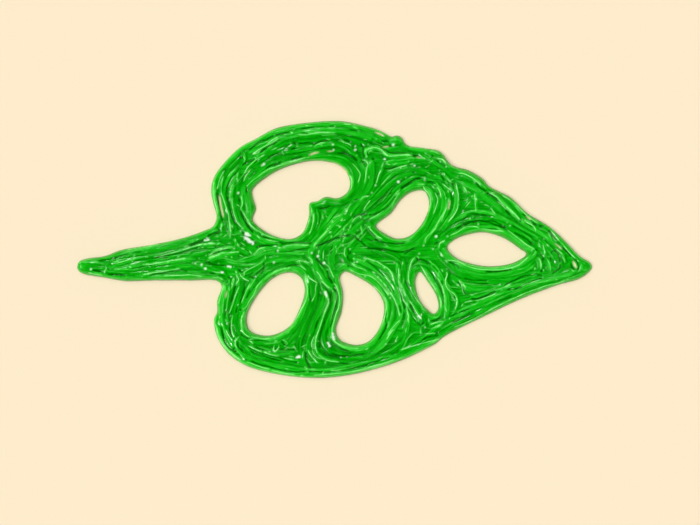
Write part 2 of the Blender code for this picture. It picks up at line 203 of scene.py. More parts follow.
# The mesh: the least share of a grid step that the edge cuts off, and the rings of the side wall below the
# edge, each by how far in it lies and how high
LEAST_CUT = 0.1
SLOPE_BLUR = 0.1
WALL = ((0.02, 0.24), (0.08, 0.09), (0.18, 0.0))

# The underside: how far apart its points and rows lie, how far in from the edge they and its grooves start,
# and how deep the grooves are under hollows of a depth
UNDERSIDE_GRID = 0.6
UNDERSIDE_ROW = 0.87
UNDERSIDE_INSET = 0.4
UNDERSIDE_RUN = 0.5
UNDERSIDE_HOLLOW = 0.1
UNDERSIDE_DEPTH = 0.12
UNDERSIDE_BLUR = 0.15
UNDERSIDE_SLACK = 1e-6

# What the material reads from the mesh: the hollow that counts as one for the painted shade in hollows, how
# far in from the edge the plastic is thin and painted paler, a painted glow of light through the thin edge,
# and how softly the shade of the lines changes
HOLLOW_SHADE_SPREAD = 0.1
THIN_GLOW_REACH = 0.9
SHADE_BLUR = 0.1

# The plastic's shader values; its greens, from the darkest, painted shade in the deepest creases, to the
# palest, painted highlight on ridges; the pale green and the white of painted highlights and glints; the
# cream of films
PLASTIC = {
    "Metallic": 0.0,
    "IOR": 1.5,
    "Subsurface Weight": 0.4,
    "Subsurface Radius": (0.15, 1.0, 0.15),
    "Subsurface Scale": 0.6 * MM,
    "Coat Weight": 0.0,
}
GREENS = (
    (0.0, (0.0, 0.13, 0.0, 1)),
    (0.35, (0.0005, 0.31, 0.0005, 1)),
    (0.55, (0.0015, 0.445, 0.0018, 1)),
    (0.8, (0.022, 0.57, 0.021, 1)),
    (1.0, (0.098, 0.74, 0.085, 1)),
)
CREST_HIGHLIGHT_GREEN = (0.34, 1.0, 0.30, 1)
PAINTED_GLINT_WHITE = (0.88, 1.0, 0.85, 1)
FILM_CREAM = (0.68, 0.73, 0.37, 1)

# Noise drawn out along each line: its pace along and across the line, its detail, and a shift of its own.
# Then the step between lines, and how the patchy rims and the coming and going of ridges follow from it
DRAG = (0.30, 3.2, 1.0, 0.0)
FINE_DRAG = (0.45, 5.2, 1.0, 0.0)
PATCHY = (0.5, 0.8, 0.0, 0.0)
COMING = (0.28, 0.9, 0.0, 11.0)
RIDGE = (0.25, 2.6, 0.0, 23.0)
GROOVE = (0.30, 2.3, 0.0, 37.0)
LINE_STEP = 3.7
PATCHY_BASE = 0.6
COMING_GAIN = 2.6
COMING_BASE = 0.55

# How broad the material draws each kind of line, and where the shaded side of a crest lies
CREST_LINE = 0.075
CREST_SHADE_LINE = 0.09
CREST_SHADE_BESIDE = 0.22
CREASE_LINE = 0.09
RIM_LINE = 0.10
RIDGE_LINE = 0.06
GROOVE_LINE = 0.05
POLISHED_LINE = 0.18

# What makes the green paler or, below nothing, darker: random shades of the lines and of streaks drawn along
# them, with painted light and shade: the marks' painted highlights and shade in the line shades, a painted
# glow at thin edges, painted shade in hollows, creases, rim lines, grooves and on the shaded side of crests,
# and painted highlights on crests and ridges. Then how much crests take their own green, a painted highlight,
# the gain and shift that turn strong crests white as a painted highlight, and how white calm droplets and
# patches are painted as a glint
TONES_AND_PAINTED_LIGHT = {
    "tone_and_painted_light": 0.20, "streak": 0.06, "thin": 0.55, "hollow": -0.4, "drag": 0.8, "fine_drag": 1.0, "crest": 0.6,
    "crease": -0.5, "rim_line": -0.4, "ridge": 0.28, "groove": -0.2, "crest_shade": -0.3,
}
CREST_HIGHLIGHT_SHARE = 0.95
HOT_CREST_HIGHLIGHT = (1.6, -1.4)
PAINTED_GLINT_SHARE = 0.85

# Bumps finer than the mesh, in millimetres: those that smooth patches and droplets lack, then those of marks
WORKED_BUMPS = {"fine": 0.0012, "drag": 0.03, "fine_drag": 0.005, "ridge": 0.018, "groove": -0.018}
MARK_BUMPS = {"worked": 1.0, "crest": 0.03, "crease": -0.03, "rim_line": -0.03, "crest_shade": -0.02}
FINE_SIZE = 0.35
FINE_DETAIL = 3.0

# The part of the fine noise that is used, the roughness that it gives, and what polishing takes away
FINE_RANGE = (0.3, 0.7)
ROUGHNESS = (0.07, 0.12)
POLISH_GAIN = 1.5
POLISH = 0.03

# The paper under the leaf, in metres, and the room round it
FLOOR_SIZE = 0.6
FLOOR_GAP = 0.00002
FLOOR_CREAM = (0.857, 0.73, 0.53, 1)
PAPER = {"Base Color": FLOOR_CREAM, "Roughness": 0.9, "Specular IOR Level": 0.1}
ROOM = {"Color": (1, 0.98, 0.95, 1), "Strength": 0.39}

# Lights from far off: azimuth, elevation and breadth in degrees, strength, and whether it shows in the gloss
# and nowhere else. The others show everywhere but in the gloss
SUNS = {
    "key_light": (206, 54, 26, 1.21, False),
    "left_glint": (206, 54, 10, 1.1, True),
    "top_glint": (105, 54, 10, 0.35, True),
    "top_light": (105, 54, 30, 0.52, False),
    "soft_light": (145, 75, 40, 1.06, False),
}

# The camera looks straight down, so far off that the picture has its width at this height on the leaf
FRAME_WIDTH = PICTURE_SIZE[0] * POINT * MM
SENSOR = 36.0
LENS = 120.0
CLIP_START = 0.01
TRUE_HEIGHT = 0.5

OUTLINE = [
    (77, 267), (79, 261.5), (87, 258.5), (104, 256.2), (121, 250), (150, 245), (180, 238.7), (203, 231.1),
    (213, 226), (216.5, 217), (213, 203), (211, 190), (214, 177), (223, 164), (240, 147.1), (256, 138.5),
    (275, 128.5), (300, 123.5), (340, 121.04), (362, 125.1), (378, 129.7), (388, 134.8), (392, 136.6),
    (395, 135.6), (399, 135.8), (402.3, 138.2), (404.3, 142), (408, 145.4), (424, 148), (440, 151.5),
    (452, 165), (469, 170.5), (483, 179), (489, 186), (510, 197), (518.5, 204.5), (527.5, 213.2),
    (550, 227.1), (564.6, 240.3), (581, 257), (590, 262.5), (592, 268), (581, 278), (558, 285), (521, 299),
    (485, 316), (453, 331.7), (442.5, 337.9), (436, 343.5), (425, 349.5), (400, 361), (370, 370.5),
    (340, 376.5), (310, 377.94), (270, 372.8), (243, 364.3), (226, 351.2), (216, 334), (214, 319),
    (217, 312), (217, 301), (221.5, 286), (217, 281), (190, 280.5), (150, 280.5), (125, 281), (104, 277.5),
    (84, 274), (78.5, 271),
]

HOLES = {
    "upper left": [
        (252.5, 190), (270, 175), (292, 165), (319, 160.7), (340.5, 166.5), (349.7, 180), (348, 191),
        (338, 198), (325, 197), (317.5, 201), (309.8, 203.2), (308.8, 216), (302, 233), (290, 239),
        (272, 235), (256, 224.5), (252.5, 219), (255.7, 209), (252.8, 197),
    ],
    "upper middle": [
        (376.3, 226), (391, 213.2), (400.5, 200.3), (411.5, 192.2), (424, 191), (429, 202), (424.2, 220),
        (411, 235), (397, 238.6), (384, 233),
    ],
    "right": [
        (447.5, 247), (455, 239.6), (470, 234), (485, 232.4), (504, 238.2), (520, 248.8), (526.3, 253.8),
        (515, 262), (497, 266), (476, 264.8), (455, 257),
    ],
    "lower left": [
        (290, 272.5), (301, 278), (304.7, 290), (299.5, 309), (288, 327.5), (268, 335.7), (249.7, 330.3),
        (246.8, 316.5), (256.5, 296.5), (272.5, 278.7),
    ],
    "lower middle": [
        (345, 271.9), (357, 276.7), (375, 288.8), (383.7, 304), (381, 324), (369.5, 340.7), (356, 345),
        (340, 339.7), (336, 330), (341.7, 311), (342.9, 293), (340.1, 277),
    ],
    "small": [
        (419.8, 272.1), (427.4, 281.3), (436.4, 296.2), (438.2, 308.7), (434, 313.7), (427.4, 309.6),
        (418.4, 297), (415.5, 280),
    ],
}

# Drawn lines, one to a row: width in picture points, level, then the points along and down the picture
STALK = """
6 0: 80,267 92,270 104,271 121,274 150,273 185,273
5 0: 80,262 90,259.5 103,258.5 112,255.5 122,252.5 135,249.8 150,247.2 165,244 180,240.5 195,235.5
    206,231 213,227 217,221 217,213
5 0: 90,272.5 104,275.5 115,278 130,278.8 150,278.2 170,277.8 190,278 205,278.2 215,279.5 221,283.5
    221.5,290
5 0: 104,260.5 120,256.5 135,253.5 150,251 165,248.5 180,245 195,240 208,235 219,229.5
5 0: 120,277 140,274.5 155,272 170,270.5 185,270
5 0: 115,274 130,272 148,270 165,267.5 180,266 195,266
5 1: 113,270 135,268 150,265 165,262.5 180,260.5 195,259
5 1: 110,267 130,264 150,261 165,259 180,256.5 195,254.5 208,252 225,248.5 240,247
4.5 1: 112,263 130,259.5 150,256.5 165,254 180,250.5 192,247 203,244 215,243.5 225,245
4 0: 150,275.5 163,275.2 178,274.9 195,275 208,276.5 218,278
7 1: 194,262 203,266 212,270 224,273
7 1: 206,262 216,257 228,253.5 242,251
11 1: 84,266 88,267
4 1: 80,263 84,261 95,262 104,263
"""

LEFT_ARM = """
7 0: 216.5,213 214.5,203 214,192 215,182 218.5,173.5 225.5,165 234.5,155.5 243,148 253,143 264,137
    275,132.5 286,129.5 300,127 318,125 335,124.5 350,125.5 362,128 375,131 388,136.5
8 0: 246,229 241,221 237.5,211 235.5,200 236.5,190 240,181 246,174
4.5 0: 227,225 224,213 221.5,203 220.5,193 221.5,183 226,173 233,164.5 241,157
4.5 1: 229.5,232 228,218 226,206 224.5,195 226,184 231,175 238,166
4.5 1: 232,237 231,222 230,208 229,196 231,186 235,178 240,171
4.5 2: 236,229 233,216 231.5,203 232.5,192 235,183 240,176
4 1: 241.5,209 243,203 242,196 242,190 246,183 252,176
7 1: 250,219 249,208 247.5,199 246.5,190 250,184 258,177.5 268,171.5 278,167
7 1: 250,152 262,146 275,139.5 290,135 303,133
7 1: 252,160 262,154 275,147 285,142 296,140
8 1: 250,167 262,161 275,155 290,148.5 302,146
7 1: 255,172 265,165.5 280,158.5 295,154.5 310,151
4 2: 243,152 245,158 244,164
"""

ARCH = """
6 0: 290,128.5 305,126 320,125 335,124.5 350,126 362,129.5 372,133.5 383,138.5
7 1: 285,137 300,133.5 320,131.5 340,131 355,133.5 368,137 380,141.5
7 0: 290,142 305,140 322,138 338,137.5 352,140 365,144 376,148
8 1: 262,177 275,170 290,164.5 305,160.5 320,157.5 335,157.5 346,161.5 354,170 357,180 355,190 349,198
    343,203
7 1: 270,161 285,157 300,154.5 315,152.5 330,151
7 2: 280,152.5 295,150 310,147.5 322,145 335,143.5 346,147 353,153 360,160
"""

SWIRL = """
6 0: 353,152 358,160 362,166 364.5,174 363,186 357,197 349,206
9 0: 368,150 378,152 390,152 402,150 412,152
8 1: 371,160 371,172 370,184 364,195 355,206 347,215
6 1: 383,162 381,172 378,182 374,192 368,200 361,208 355,216
8 1: 425,166 410,167 398,170 388,176 380,184 372,193 363,203
7 1: 428,171 412,173 400,177 390,184 381,193 372,202 362,212
7 2: 423,178 413,179 404,184 397,190 391,198 383,206 373,213 365,218
7 1: 424,184 416,184.5 408,187.5 400,193.5 394,201 389,208 380,214 371,219
9 2: 388,163 400,161 412,159
5 3: 366,157 365,152 369,149 376,148 382,150 386,154.5 392,156 402,155.5 412,155
9 2: 392,141 399,141
"""

HUB = """
7 1: 311,206 318,203 326,201.5 336,203 345,201
7 0: 340,206 333,215 327,224 319,234 312,241 306,247
7 1: 316,210 316,222 312,232 305,240
8 1: 350,207 343,216 333,225 322,237 314,246 311,254 313,262 318,273 327,284 336,290
8 0: 356,214 348,222 339,231 329,241 322,251 321,260 326,270
8 1: 362,222 354,230 344,239 335,249 331,259 334,268
7 0: 366,230 358,238 350,247 344,257 348,266
5 1: 256,222 262,229 271,236 281,240.5 291,241.5 300,240 306,234 311,225 312.5,216
7 0: 240,224 248,231 258,238 270,243 285,245 300,244 312,244
8 0: 225,258 240,262 255,262 270,260 285,258 300,257
7 1: 256,252 266,249 280,247 295,245.5 312,246.5
7 1: 236,262 250,258 262,253 275,251 290,252 303,253
6 0: 240,276 252,270 262,264 270,257
6 1: 266,256 264,262 258,268 250,273
6 2: 236,240 237,247 243,251 252,256
5 2: 243,236 254,243
"""

LOWER_LEFT = """
6 0: 221,284 220,292 218.5,302 219,312
7 0: 217,314 217,325 219.5,336 225.5,346 233.5,354.5 243.5,361.5 255.5,366 270,369.5 287,373 303,374.8
    320,375 340,372.5 360,369 378,364.5 395,358.5 412,352 425,346.5 436,340.5
7 0: 238,279 238,288 235,300 232,311 231,322 234,333 240,343 250,352 265,357 285,360 305,363 325,364
6 1: 224,283 223.5,293 222,304 222,315 224,326 229,337 236,347 245,355 260,362 280,366.5 300,370 320,371
    340,369 360,365 378,360.5 395,355
5 1: 229,281 228,292 226,304 226,316 229,327 235,338 244,348
5 1: 234,278 233,290 231,300 229,310 230,320
7 1: 243,283 241,293 237,305 234.5,317 236,329 243,339 253,346 265,350 280,352 297,352
7 1: 256,277 250,287 245,298 241,309 239,320 241,330 247,337 257,341 270,342 283,339 295,331
6 1: 290,268.5 280,271 271,275.5 262,283 254,292 248.5,302 244,312 243,322 246,331.5 252,337 261,339.5
    272,339.5 283,335.5 292,329 299.5,319 304,308 307.5,297 308,286 305,276 299,270 290,268.5
"""

RIBS = """
7 0: 300,262 308,272 312,284 312,292 310,303 305,314 300,325 294,334 286,343 274,347
7 0: 317,283 316,295 313,307 308,319 303,331 299,342 300,354 306,362
6 1: 322,285 325,295 323,305 318,315 314,325 310,337 308,348 312,357
6 1: 333,285 335,295 334,305 330,316 326,327 323,338 326,348 334,354 347,357 362,357 377,353
5 2: 323,287 326,294 328.5,301 325,311 321,322 317,333 314.5,343 318,353 326,359 337,362
6 1: 337,275 338,284 340,294 338.5,305 334,316 331,327 332,337 339,345 350,348.5 360,348.5 370,344.5
    379,336 384.5,325 387.5,314 387.5,303 384,292.5 378,285 369,279 360,273.5 352,268.5 345,267 339,269.5
"""

RIGHT_OF_RIBS = """
6 0: 397,261 398,272 400,284 405,296 408,308 408,320 406,332 404,342 398,352
7 0: 352,264 364,271 376,278 385,288 391,300 392,312 389,324 383,335 376,344 366,350 354,352
6 1: 354,259 368,265 380,272 389,282 396,295 400,308 400,317 394,327 388,337 381,346 372,353 360,357
6 1: 362,257 376,263 388,270 396,281 402,294 405,306
7 0: 370,247 382,252 394,256 402,262
6 1: 403,260 404,272 405,284 410,297 416,308 422,318 424,330
5 1: 416,257 411,262 408.5,272 409,284 413,296 420,308 428,318
5 1: 421,267 414,269 412,279 412.5,290 416.5,300.5 423.5,310.5 431,317.5 438,317.5 442,310 441.5,300
    438,290 432,280 426,271 421,267
6 1: 430,262 438,272 443,283 446,295 447,307 445,319
6 0: 400,352 412,346 424,338 436,328 450,320 466,312
6 0: 378,357 392,350 404,340 414,330
"""

RIGHT_OF_HOLE_TWO = """
7 0: 431,186 437,194 439,203 437,213 433,222 427,232 419,240 409,246 396,249 384,247
7 1: 424,187 430,192 433,201 432.5,210 429,219 423.5,228 416,236 408,241 398,242.5 389,241 380,236.5
    373,230.5 369,224 371,219
6 1: 437,184 442,193 444,203 442,214 437,224 430,234 424,243
6 0: 443,184 448,193 449,203 446,214 441,224 435,232
7 1: 449,183 454,190 456,200 454,211 449,220 443,229
6 0: 470,200 462,208 452,217 442,228
6 0: 424,172 432,176 442,178 452,184
"""

UPPER_EDGE = """
7 0: 405,148 418,150 430,152 440,156 446,162 453,168.5 463,172.5 473,176 480,181 485.5,187.5 493,192
    503,197 511.5,203 518.5,210.5 527.5,218.5 536.5,224 545.5,228.5 554.5,234 561.5,241 568.5,249
    576.5,257 583.5,263
6 1: 424,153 430,158 436,163 444,168
6 1: 432,157 440,160 447,166 456,172
6 2: 444,174 447,180 452,184
7 0: 458,182 470,187 482,194 492,203 502,213
6 1: 460,174 470,177.5 477,182 482,188
5.5 2: 487,192.5 495,196.5 503,203 511,211 518,219
6 1: 518,219 528,226 538,231 548,238 556,246
5 2: 521,220 528,223.5 534,228
5 2: 462,186 467,194
"""

OVER_RIGHT_HOLE = """
7 1: 440,240 450,232 462,226 475,222.5 490,222 505,226 520,234 533,243
7 0: 445,225 455,218 468,213 482,212 497,217 510,224 522,230 536,238
7 1: 447,238 456,233 466,229.5 480,227.5 493,228.5 505,232.5 515,238.5 525,246 534,252 527,260.5
    518,265.5 507,268.5 495,270.5 482,270 468,267 456,262 447,256 443,249.5
7 0: 540,240 550,250 557,260 560,270
6 1: 535,256 539,262 540,270
5 1: 552,251 558,257 560,264 558,270
5 1: 556,250 562,255 565,262
6 0: 546,258 549,265 550,272
12 1: 580,265 584,267.5
"""

LOWER_RIGHT = """
7 0: 586,270 578,274 565,278.5 550,283 535,287.5 520,293 505,299 490,306 475,314 460,321 447,328 438,334
8 0: 448,262 456,270 470,277 488,280 506,280 522,278
8 0: 452,276 460,284 474,289 492,289 510,284
7 1: 575,271 560,275.5 545,279.5 528,284 512,289.5 498,296 483,303 468,309 455,316
7 1: 535,262 525,269 512,273 498,275 483,275 467,272 453,266
5 1: 540,272 525,277 510,282
4 1: 447,272 446,280 449,288 455,295 457,303 455,310
7 0: 452,300 466,299 482,294 497,289
"""

LINES = (STALK + LOWER_RIGHT + OVER_RIGHT_HOLE + UPPER_EDGE + RIGHT_OF_HOLE_TWO + RIGHT_OF_RIBS + HUB
         + LEFT_ARM + ARCH + SWIRL + LOWER_LEFT + RIBS)

# Fine marks on the lines, one to a row: flanks that catch the light, and creases between lines
SHARP_CRESTS = """
0.9: 153.3,257.1 160.2,255.8 169.7,253.7 179.3,251.1 189.7,247.6 198.3,245.4 203,244.7
1.1: 142,274.9 153.3,272.7 163.7,271.4 172.3,269.7 181,268.4
1.1: 163.7,275.3 170.6,275.3 181,275.3 189.7,274.9 198.3,275.8 203.5,276.6
132.5,258.9 137.7,257.1
1.1: 87.4,272.3 94.3,274 103.9,275.6
1.2: 104.7,273.6 105.6,270.1 107.3,267.5
0.6: 145.5,255.5 146.3,258
0.6: 147.5,255.5 148.3,258
0.6: 154,262 154.6,264.5
0.6: 156,262 156.6,264.3
0.6: 158,261.6 158.6,264
0.6: 176,258.6 176.6,260.6
0.6: 178.3,258.2 179,260.2
0.6: 181,257.6 181.6,259.8
0.6: 183.5,257.2 184.2,259.2
1.3: 445.2,271.8 447,273.9 445.2,280.2 445.6,285.1 448,289.3 452.6,292.8 455,295.6 456.8,299.8 456.4,304
    455,308.9
441.4,269 443.1,272.5
1.2: 457.8,279.5 460.3,282.3 461.7,286.5 462.8,291.4 464.5,294.9
1.1: 462.4,282.3 464.1,285.8 465.9,289.3
0.9: 463.1,303.3 465.9,301.9 473.6,300.5
1.1: 473.6,300.5 479.2,299.8 486.9,297 492.5,294.9 496.7,292.8
1.2: 447.3,206 444.7,212 442,218.7 440.7,222.7
1.2: 490,207.3 493.3,212 495.7,214.7
483,204.5 487,205.5 490,207.3
0.9: 496.7,200.7 503.3,206.7 507.3,210.7
505.3,206.7 510,211.3 514,214.7
0.8: 514,205.3 520,212
0.8: 450,235.3 456.7,232.7 463.3,228 470,226.3 475.3,226.7 480,228.7
1.1: 445.3,240 442,243.3
444.7,260 447.3,262
1.2: 224.5,171 222,174.8 220.4,178.1 218.6,184 217.5,189.9
223.7,175.9 221.5,184 221.2,191.3 223,197.9 225.9,206 228.5,214.1 229.2,220.7 230.3,228 230,239
1.1: 234,183.3 231.4,186.9 230,194.3 229.2,202.3
238.4,172.3 237.3,176.7 237.7,184
1.2: 245.4,160.5 242.8,154.7
252.3,154.7 257.5,153.2 261.9,149.5
231.4,224.3 233.3,228.7
221.5,222.9 221.2,229.5
1.5: 290.4,132.3 293.4,133.5
314.4,147.6 316.2,145.2 319.8,143.4 325.8,142.8
0.9: 306,157.8 309.6,157.2
506.5,229.5 516,236.8 521.1,240.9 525.3,244.1 529.6,246.8 534.9,249.7
1.2: 501,195 509.5,200 515.5,205 521.6,210.5 525.3,214.3 529.6,218 533.9,221.2 538.7,224.4
1.2: 524.3,221.2 528,223.3 532.8,226 534.7,228.7 535.5,232.4
1.5: 549.9,230.3 553.1,233.5 556.3,237.7 559.5,241.5
1.2: 559.5,241.5 562.7,245.2 566.4,249.5 570.1,253.7 573.3,256.9 576.5,260.1
547.2,232.4 549.9,236.7 551.5,238.8
1.2: 530.7,249.5 532,251.1
1.2: 538.4,242.5 539.2,245.7 541.1,248.9
1.2: 542.4,244.1 543.5,248.4 544.5,252.7 544.5,255.3
545.6,243.6 548.8,247.3
1.2: 554.7,247.9 558.4,251.1 562.7,254.8
1.4: 561.6,256.4 563.7,259.6 564.5,263.3
1.2: 537.1,256.9 538.7,258.5 540.3,261.7 540.8,265.5 540.5,269.2
542.9,269.2 543.5,271.3
1.2: 570.7,268.7 573.9,271.9
1.2: 225.7,329 228.3,334.3 231.7,339.7 233,342.3
1.2: 226.3,340.3 229,345.7 232.3,349.3
225,337 227,343.7
1.3: 244.5,311 242,317 241.3,322 241.7,327.7 243,331.7 246.3,335 249.7,337.3
1.4: 239.7,353.7 242.3,357 245.7,360.7
1.1: 245.7,361.3 251.7,363.3 255.7,365 259.7,366.3 265,368.3 270.3,370
1.2: 248.3,345.3 253,348 258.3,350.3 262.3,352
1.2: 263.7,351.3 265,352.3 270.3,354.3 277,355.7 280.3,356
283,357.7 289.7,359 294.3,359.7
1.2: 274.3,345 273.7,349 274.7,351 277,349.7 279,346.3 278.7,344.3
282.3,339 285.7,341.7 288.3,344.3
293,345.7 295.7,347.7
1.2: 216.6,327 218,335.3 221.7,342.3 226.2,347.7 231.4,352.9 236.7,357.3 241.9,360.2
1.2: 309,235 311.2,229.5 312.6,224.7 313.2,220 313,213
332.3,219.4 332.4,221.5 331.4,223.8
351.7,223 349.8,227.5 347.8,232
1.3: 344.4,226 343.7,228.5 343,231.5
1.5: 344.3,233 345.5,235.5
1.3: 367.5,225.3 369.6,228.3 372,231.3 375,234.2 378,236.7 383,239
1.3: 355.6,235 358.2,237.6 361.2,241
1.2: 345.3,246.5 344.6,251 344.5,255 346.4,257.5
1.2: 352.8,258.3 354.9,259.4
353.3,261.5 355.5,262.9
319.2,249.8 318.9,253
1.3: 323.8,250 323.2,255 323.4,260
324,261 325,263.5 328.5,266.5 330.4,270 332.6,275 334.5,278.8
308,257.5 311.2,258.9
309.6,260.5 312.8,263.7
360.5,215.7 360.8,219
371.5,271 376.3,273.8
423.4,157.4 425.8,159.8
1.3: 435.4,158 442,159.5 443.8,160.6 446.6,164.8
445.5,177 449,180.6 452.8,183.6
1.2: 455.6,182.5 456.8,188.5 458.2,196 458,202.5 457.3,208 453,216 447,223
1.3: 457.5,173 463,173.8 468.4,176 473.8,179.2 478,182.8 481.2,186.4
1.2: 462.3,186 465.4,189.8 467.8,194.8
1.2: 436.3,186.3 439.5,191.5 441,198.5
448.9,197.6 448,203.6 445,210.2 440,218 435,227.5
388.5,269.8 391.3,273.6 393.4,278.5 394.8,284.5
1.3: 382.7,282 388,288.7 392,295 395.3,301.7 398,309.7 399.7,316.8
398.3,267.5 398.7,273 398.3,279 399.5,282.5 402.7,288.3 404.7,293.7 405.6,297.5
405,301 406.7,307 407.4,312 408.4,316 408,319.5 408.6,323.3
1.1: 414.7,257 411.3,261.7 409.3,268.3 408.1,275 408.7,281 410.2,285.3
410,289 414.7,297 420,304.3 425.3,311.7
1.5: 409.7,300.5 413.3,307 417.3,313.8 422,319.8
1.3: 420.7,265.7 425.3,273.7 430,281 433.3,286.3 436.4,291.2
438.7,295.7 440.7,302.3 440.7,309
1.4: 438.7,251 444,257.7
1.2: 364.3,158.9 365.4,160.8 368,164.1 366.6,168.7 365.9,174.3 365,180.4 364.3,184.1
0.8: 383.9,163.1 381.5,166.9 381.5,169.2
1.3: 381.5,169.2 378.7,174.8 377.3,179.5 376.2,184.1
351.2,162.7 355.4,166.9 358.2,170.6 360.1,174.3 359.4,178.5 357.5,183.7
1.2: 372.2,150.1 370.3,151 368.7,152.4 368.7,154
367.3,155.6 366.8,157.2
1.3: 316.1,270.7 320.2,276.1 322.2,280.9 324.9,284.3 330,288.4
1.3: 307.6,274.1 309.6,277.8 314,280.9 318.1,283.6
1.1: 304.9,274.1 305.5,280.9 307.2,287.7 307.2,294.5 305.2,302 301.8,308.1 299.1,313.5 294,321 289,327
316.8,282.9 315.4,287.7 315.4,293.8 313.4,298.6 311.3,302
1.3: 324.3,289.7 326.3,295.2 328.7,299.9 328.3,303.3 325.6,309.5 322.9,316.9 320.9,323.7 318.8,329.9
    316.8,335.3
    315.4,342.1 315.7,347.6 317.4,353.7
1.3: 333.4,282.2 335.8,285.6 339.2,295.2 339.6,299.9 338.5,307.4 335.8,314.2 333.8,321.7 332.1,328.5
    332.4,335.3
    333.8,340.1 338.5,344.1 346,347.6
314.7,335.3 312,341.4 311.7,346.2 313,348.9
1.4: 307.9,349.6 310.6,355 314.7,359.8 318.8,363.5
303.2,350.3 302.1,359.1
1.4: 304.2,365.9 307.6,370
324.9,360.5 325.3,362.5
240.3,242.3 246.4,246.3
1.2: 237.1,243.5 239.9,246.7
241.3,247.4 244,250
257.1,234.6 260.4,240.2
1.2: 249.2,250 252.5,255.4
0.8: 253.4,252.8 256.2,255.6
1.2: 235.2,271 237.5,272.9
1.2: 239.4,272.4 240.3,274.7 243.1,278 246.4,279.9 249.2,281
0.8: 243.6,276.6 244.5,274.7 244.1,272.4 245.9,271 250.1,268.7 253.9,266.8 256.7,265.4 261.3,262.6
    263.7,260.3
1.2: 235.7,273.8 237.8,277.1 238.7,279.9 237.5,282.2 235.7,284.8
0.9: 235.2,277.1 233.8,279.4 232.6,282.2
0.9: 239.2,285.9 238.5,288.7 237.3,291.5
211.9,276.8 215.1,277.5 219,277.6 223.5,279.9
1.2: 203,244.9 210,243.7 216.5,243.9
203,240.3 209,240.2
0.9: 247.3,222.5 252,226.7 258,232.3
0.9: 222,222 221.8,226 221,229 221.7,232
231.9,223.9 233.6,229.7
235.2,237.9 235.4,242.5
212.8,271.5 217,272.4 222.1,272.4
0.8: 210,253.3 214.7,250.5 219.3,248.6 224,248.1 233.8,247.4
231,256.3 232.5,258
241,195 242.5,204 241,208.5 244,214 249.5,223 256,229 265.5,235 277,239
243.5,175 247.5,168 256,160 265.5,154.5
252,155 261,148.5 273,142.5 279,138.5
363,210.5 366.5,205 370.5,200
434.5,192 437.5,199.5 436,206.5 433,214.5
488,192.5 496,197 503.5,205 511.5,211 520.5,220.5
425,244 425.5,239 429.5,233.5
438.5,249.5 440,243 446,239.5
366,258.5 374.5,260.5 382,265 387,268 391.5,273 394,282
436.5,276 441.5,285.5 444.5,296.5 445,308 447,312.5
271.5,273.5 275.5,271 284.5,268.5 291.5,267
296,265 302,267 306.5,270.5
257,287.5 254,294 249,301.5 246.5,306.5 242,309.5
239.5,286 235,297 232.5,305 229,314
250.5,283.5 245.5,293 241.5,303
256.5,235 260,239
233,314.5 231.5,322.5 232,331 234,338
352,126.5 359,129.5
260.8,234 263,236.6
343,123.3 351.4,125
368,153 370.4,150.7 373.7,149
348,174.7 351.4,178 351.4,185.5
424,152.3 426.5,154.7
429,234.8 437,226.8
440,252 444,257
416.6,255.4 419.3,259
325,232.5 319.8,238.5 315,243.2 313.4,248.2
351.2,203 347.2,209.7 346,213.7
360.6,225 362,234.5
319,249.6 318.4,255
227,266.4 232,266.8
367.3,258 375,262
223.2,285.5 221,294.6 218.3,304.5
225.4,318.5 226.8,322.7
218.3,320 219.7,324
215.5,324 217.6,334.6 221,343
251.3,341 253.4,344.5
325.4,360.6 325,364
394.5,328.3 390.3,333.2 386,340.3
311.4,206.5 311.6,211 312.4,217
329,232 332.5,232
331.5,235 331,238.5
337,225 338.8,225.8 339.6,227.8
352.5,253 355.5,254.5
348.5,268.5 350.5,270.5 354,272.5
383,267 385.5,268.8
419,155 422,157.5 425,159.5
439.3,160.8 440.6,163
445.3,166.2 446.2,167.6
447.5,190.3 448.6,193.2
476,197.5 477,201.5
402.8,260.8 402.5,265.3
383,275 388,281 391.5,286 394,290.5
428.3,317.8 429.2,323
420,328.5 421,335.5
"""
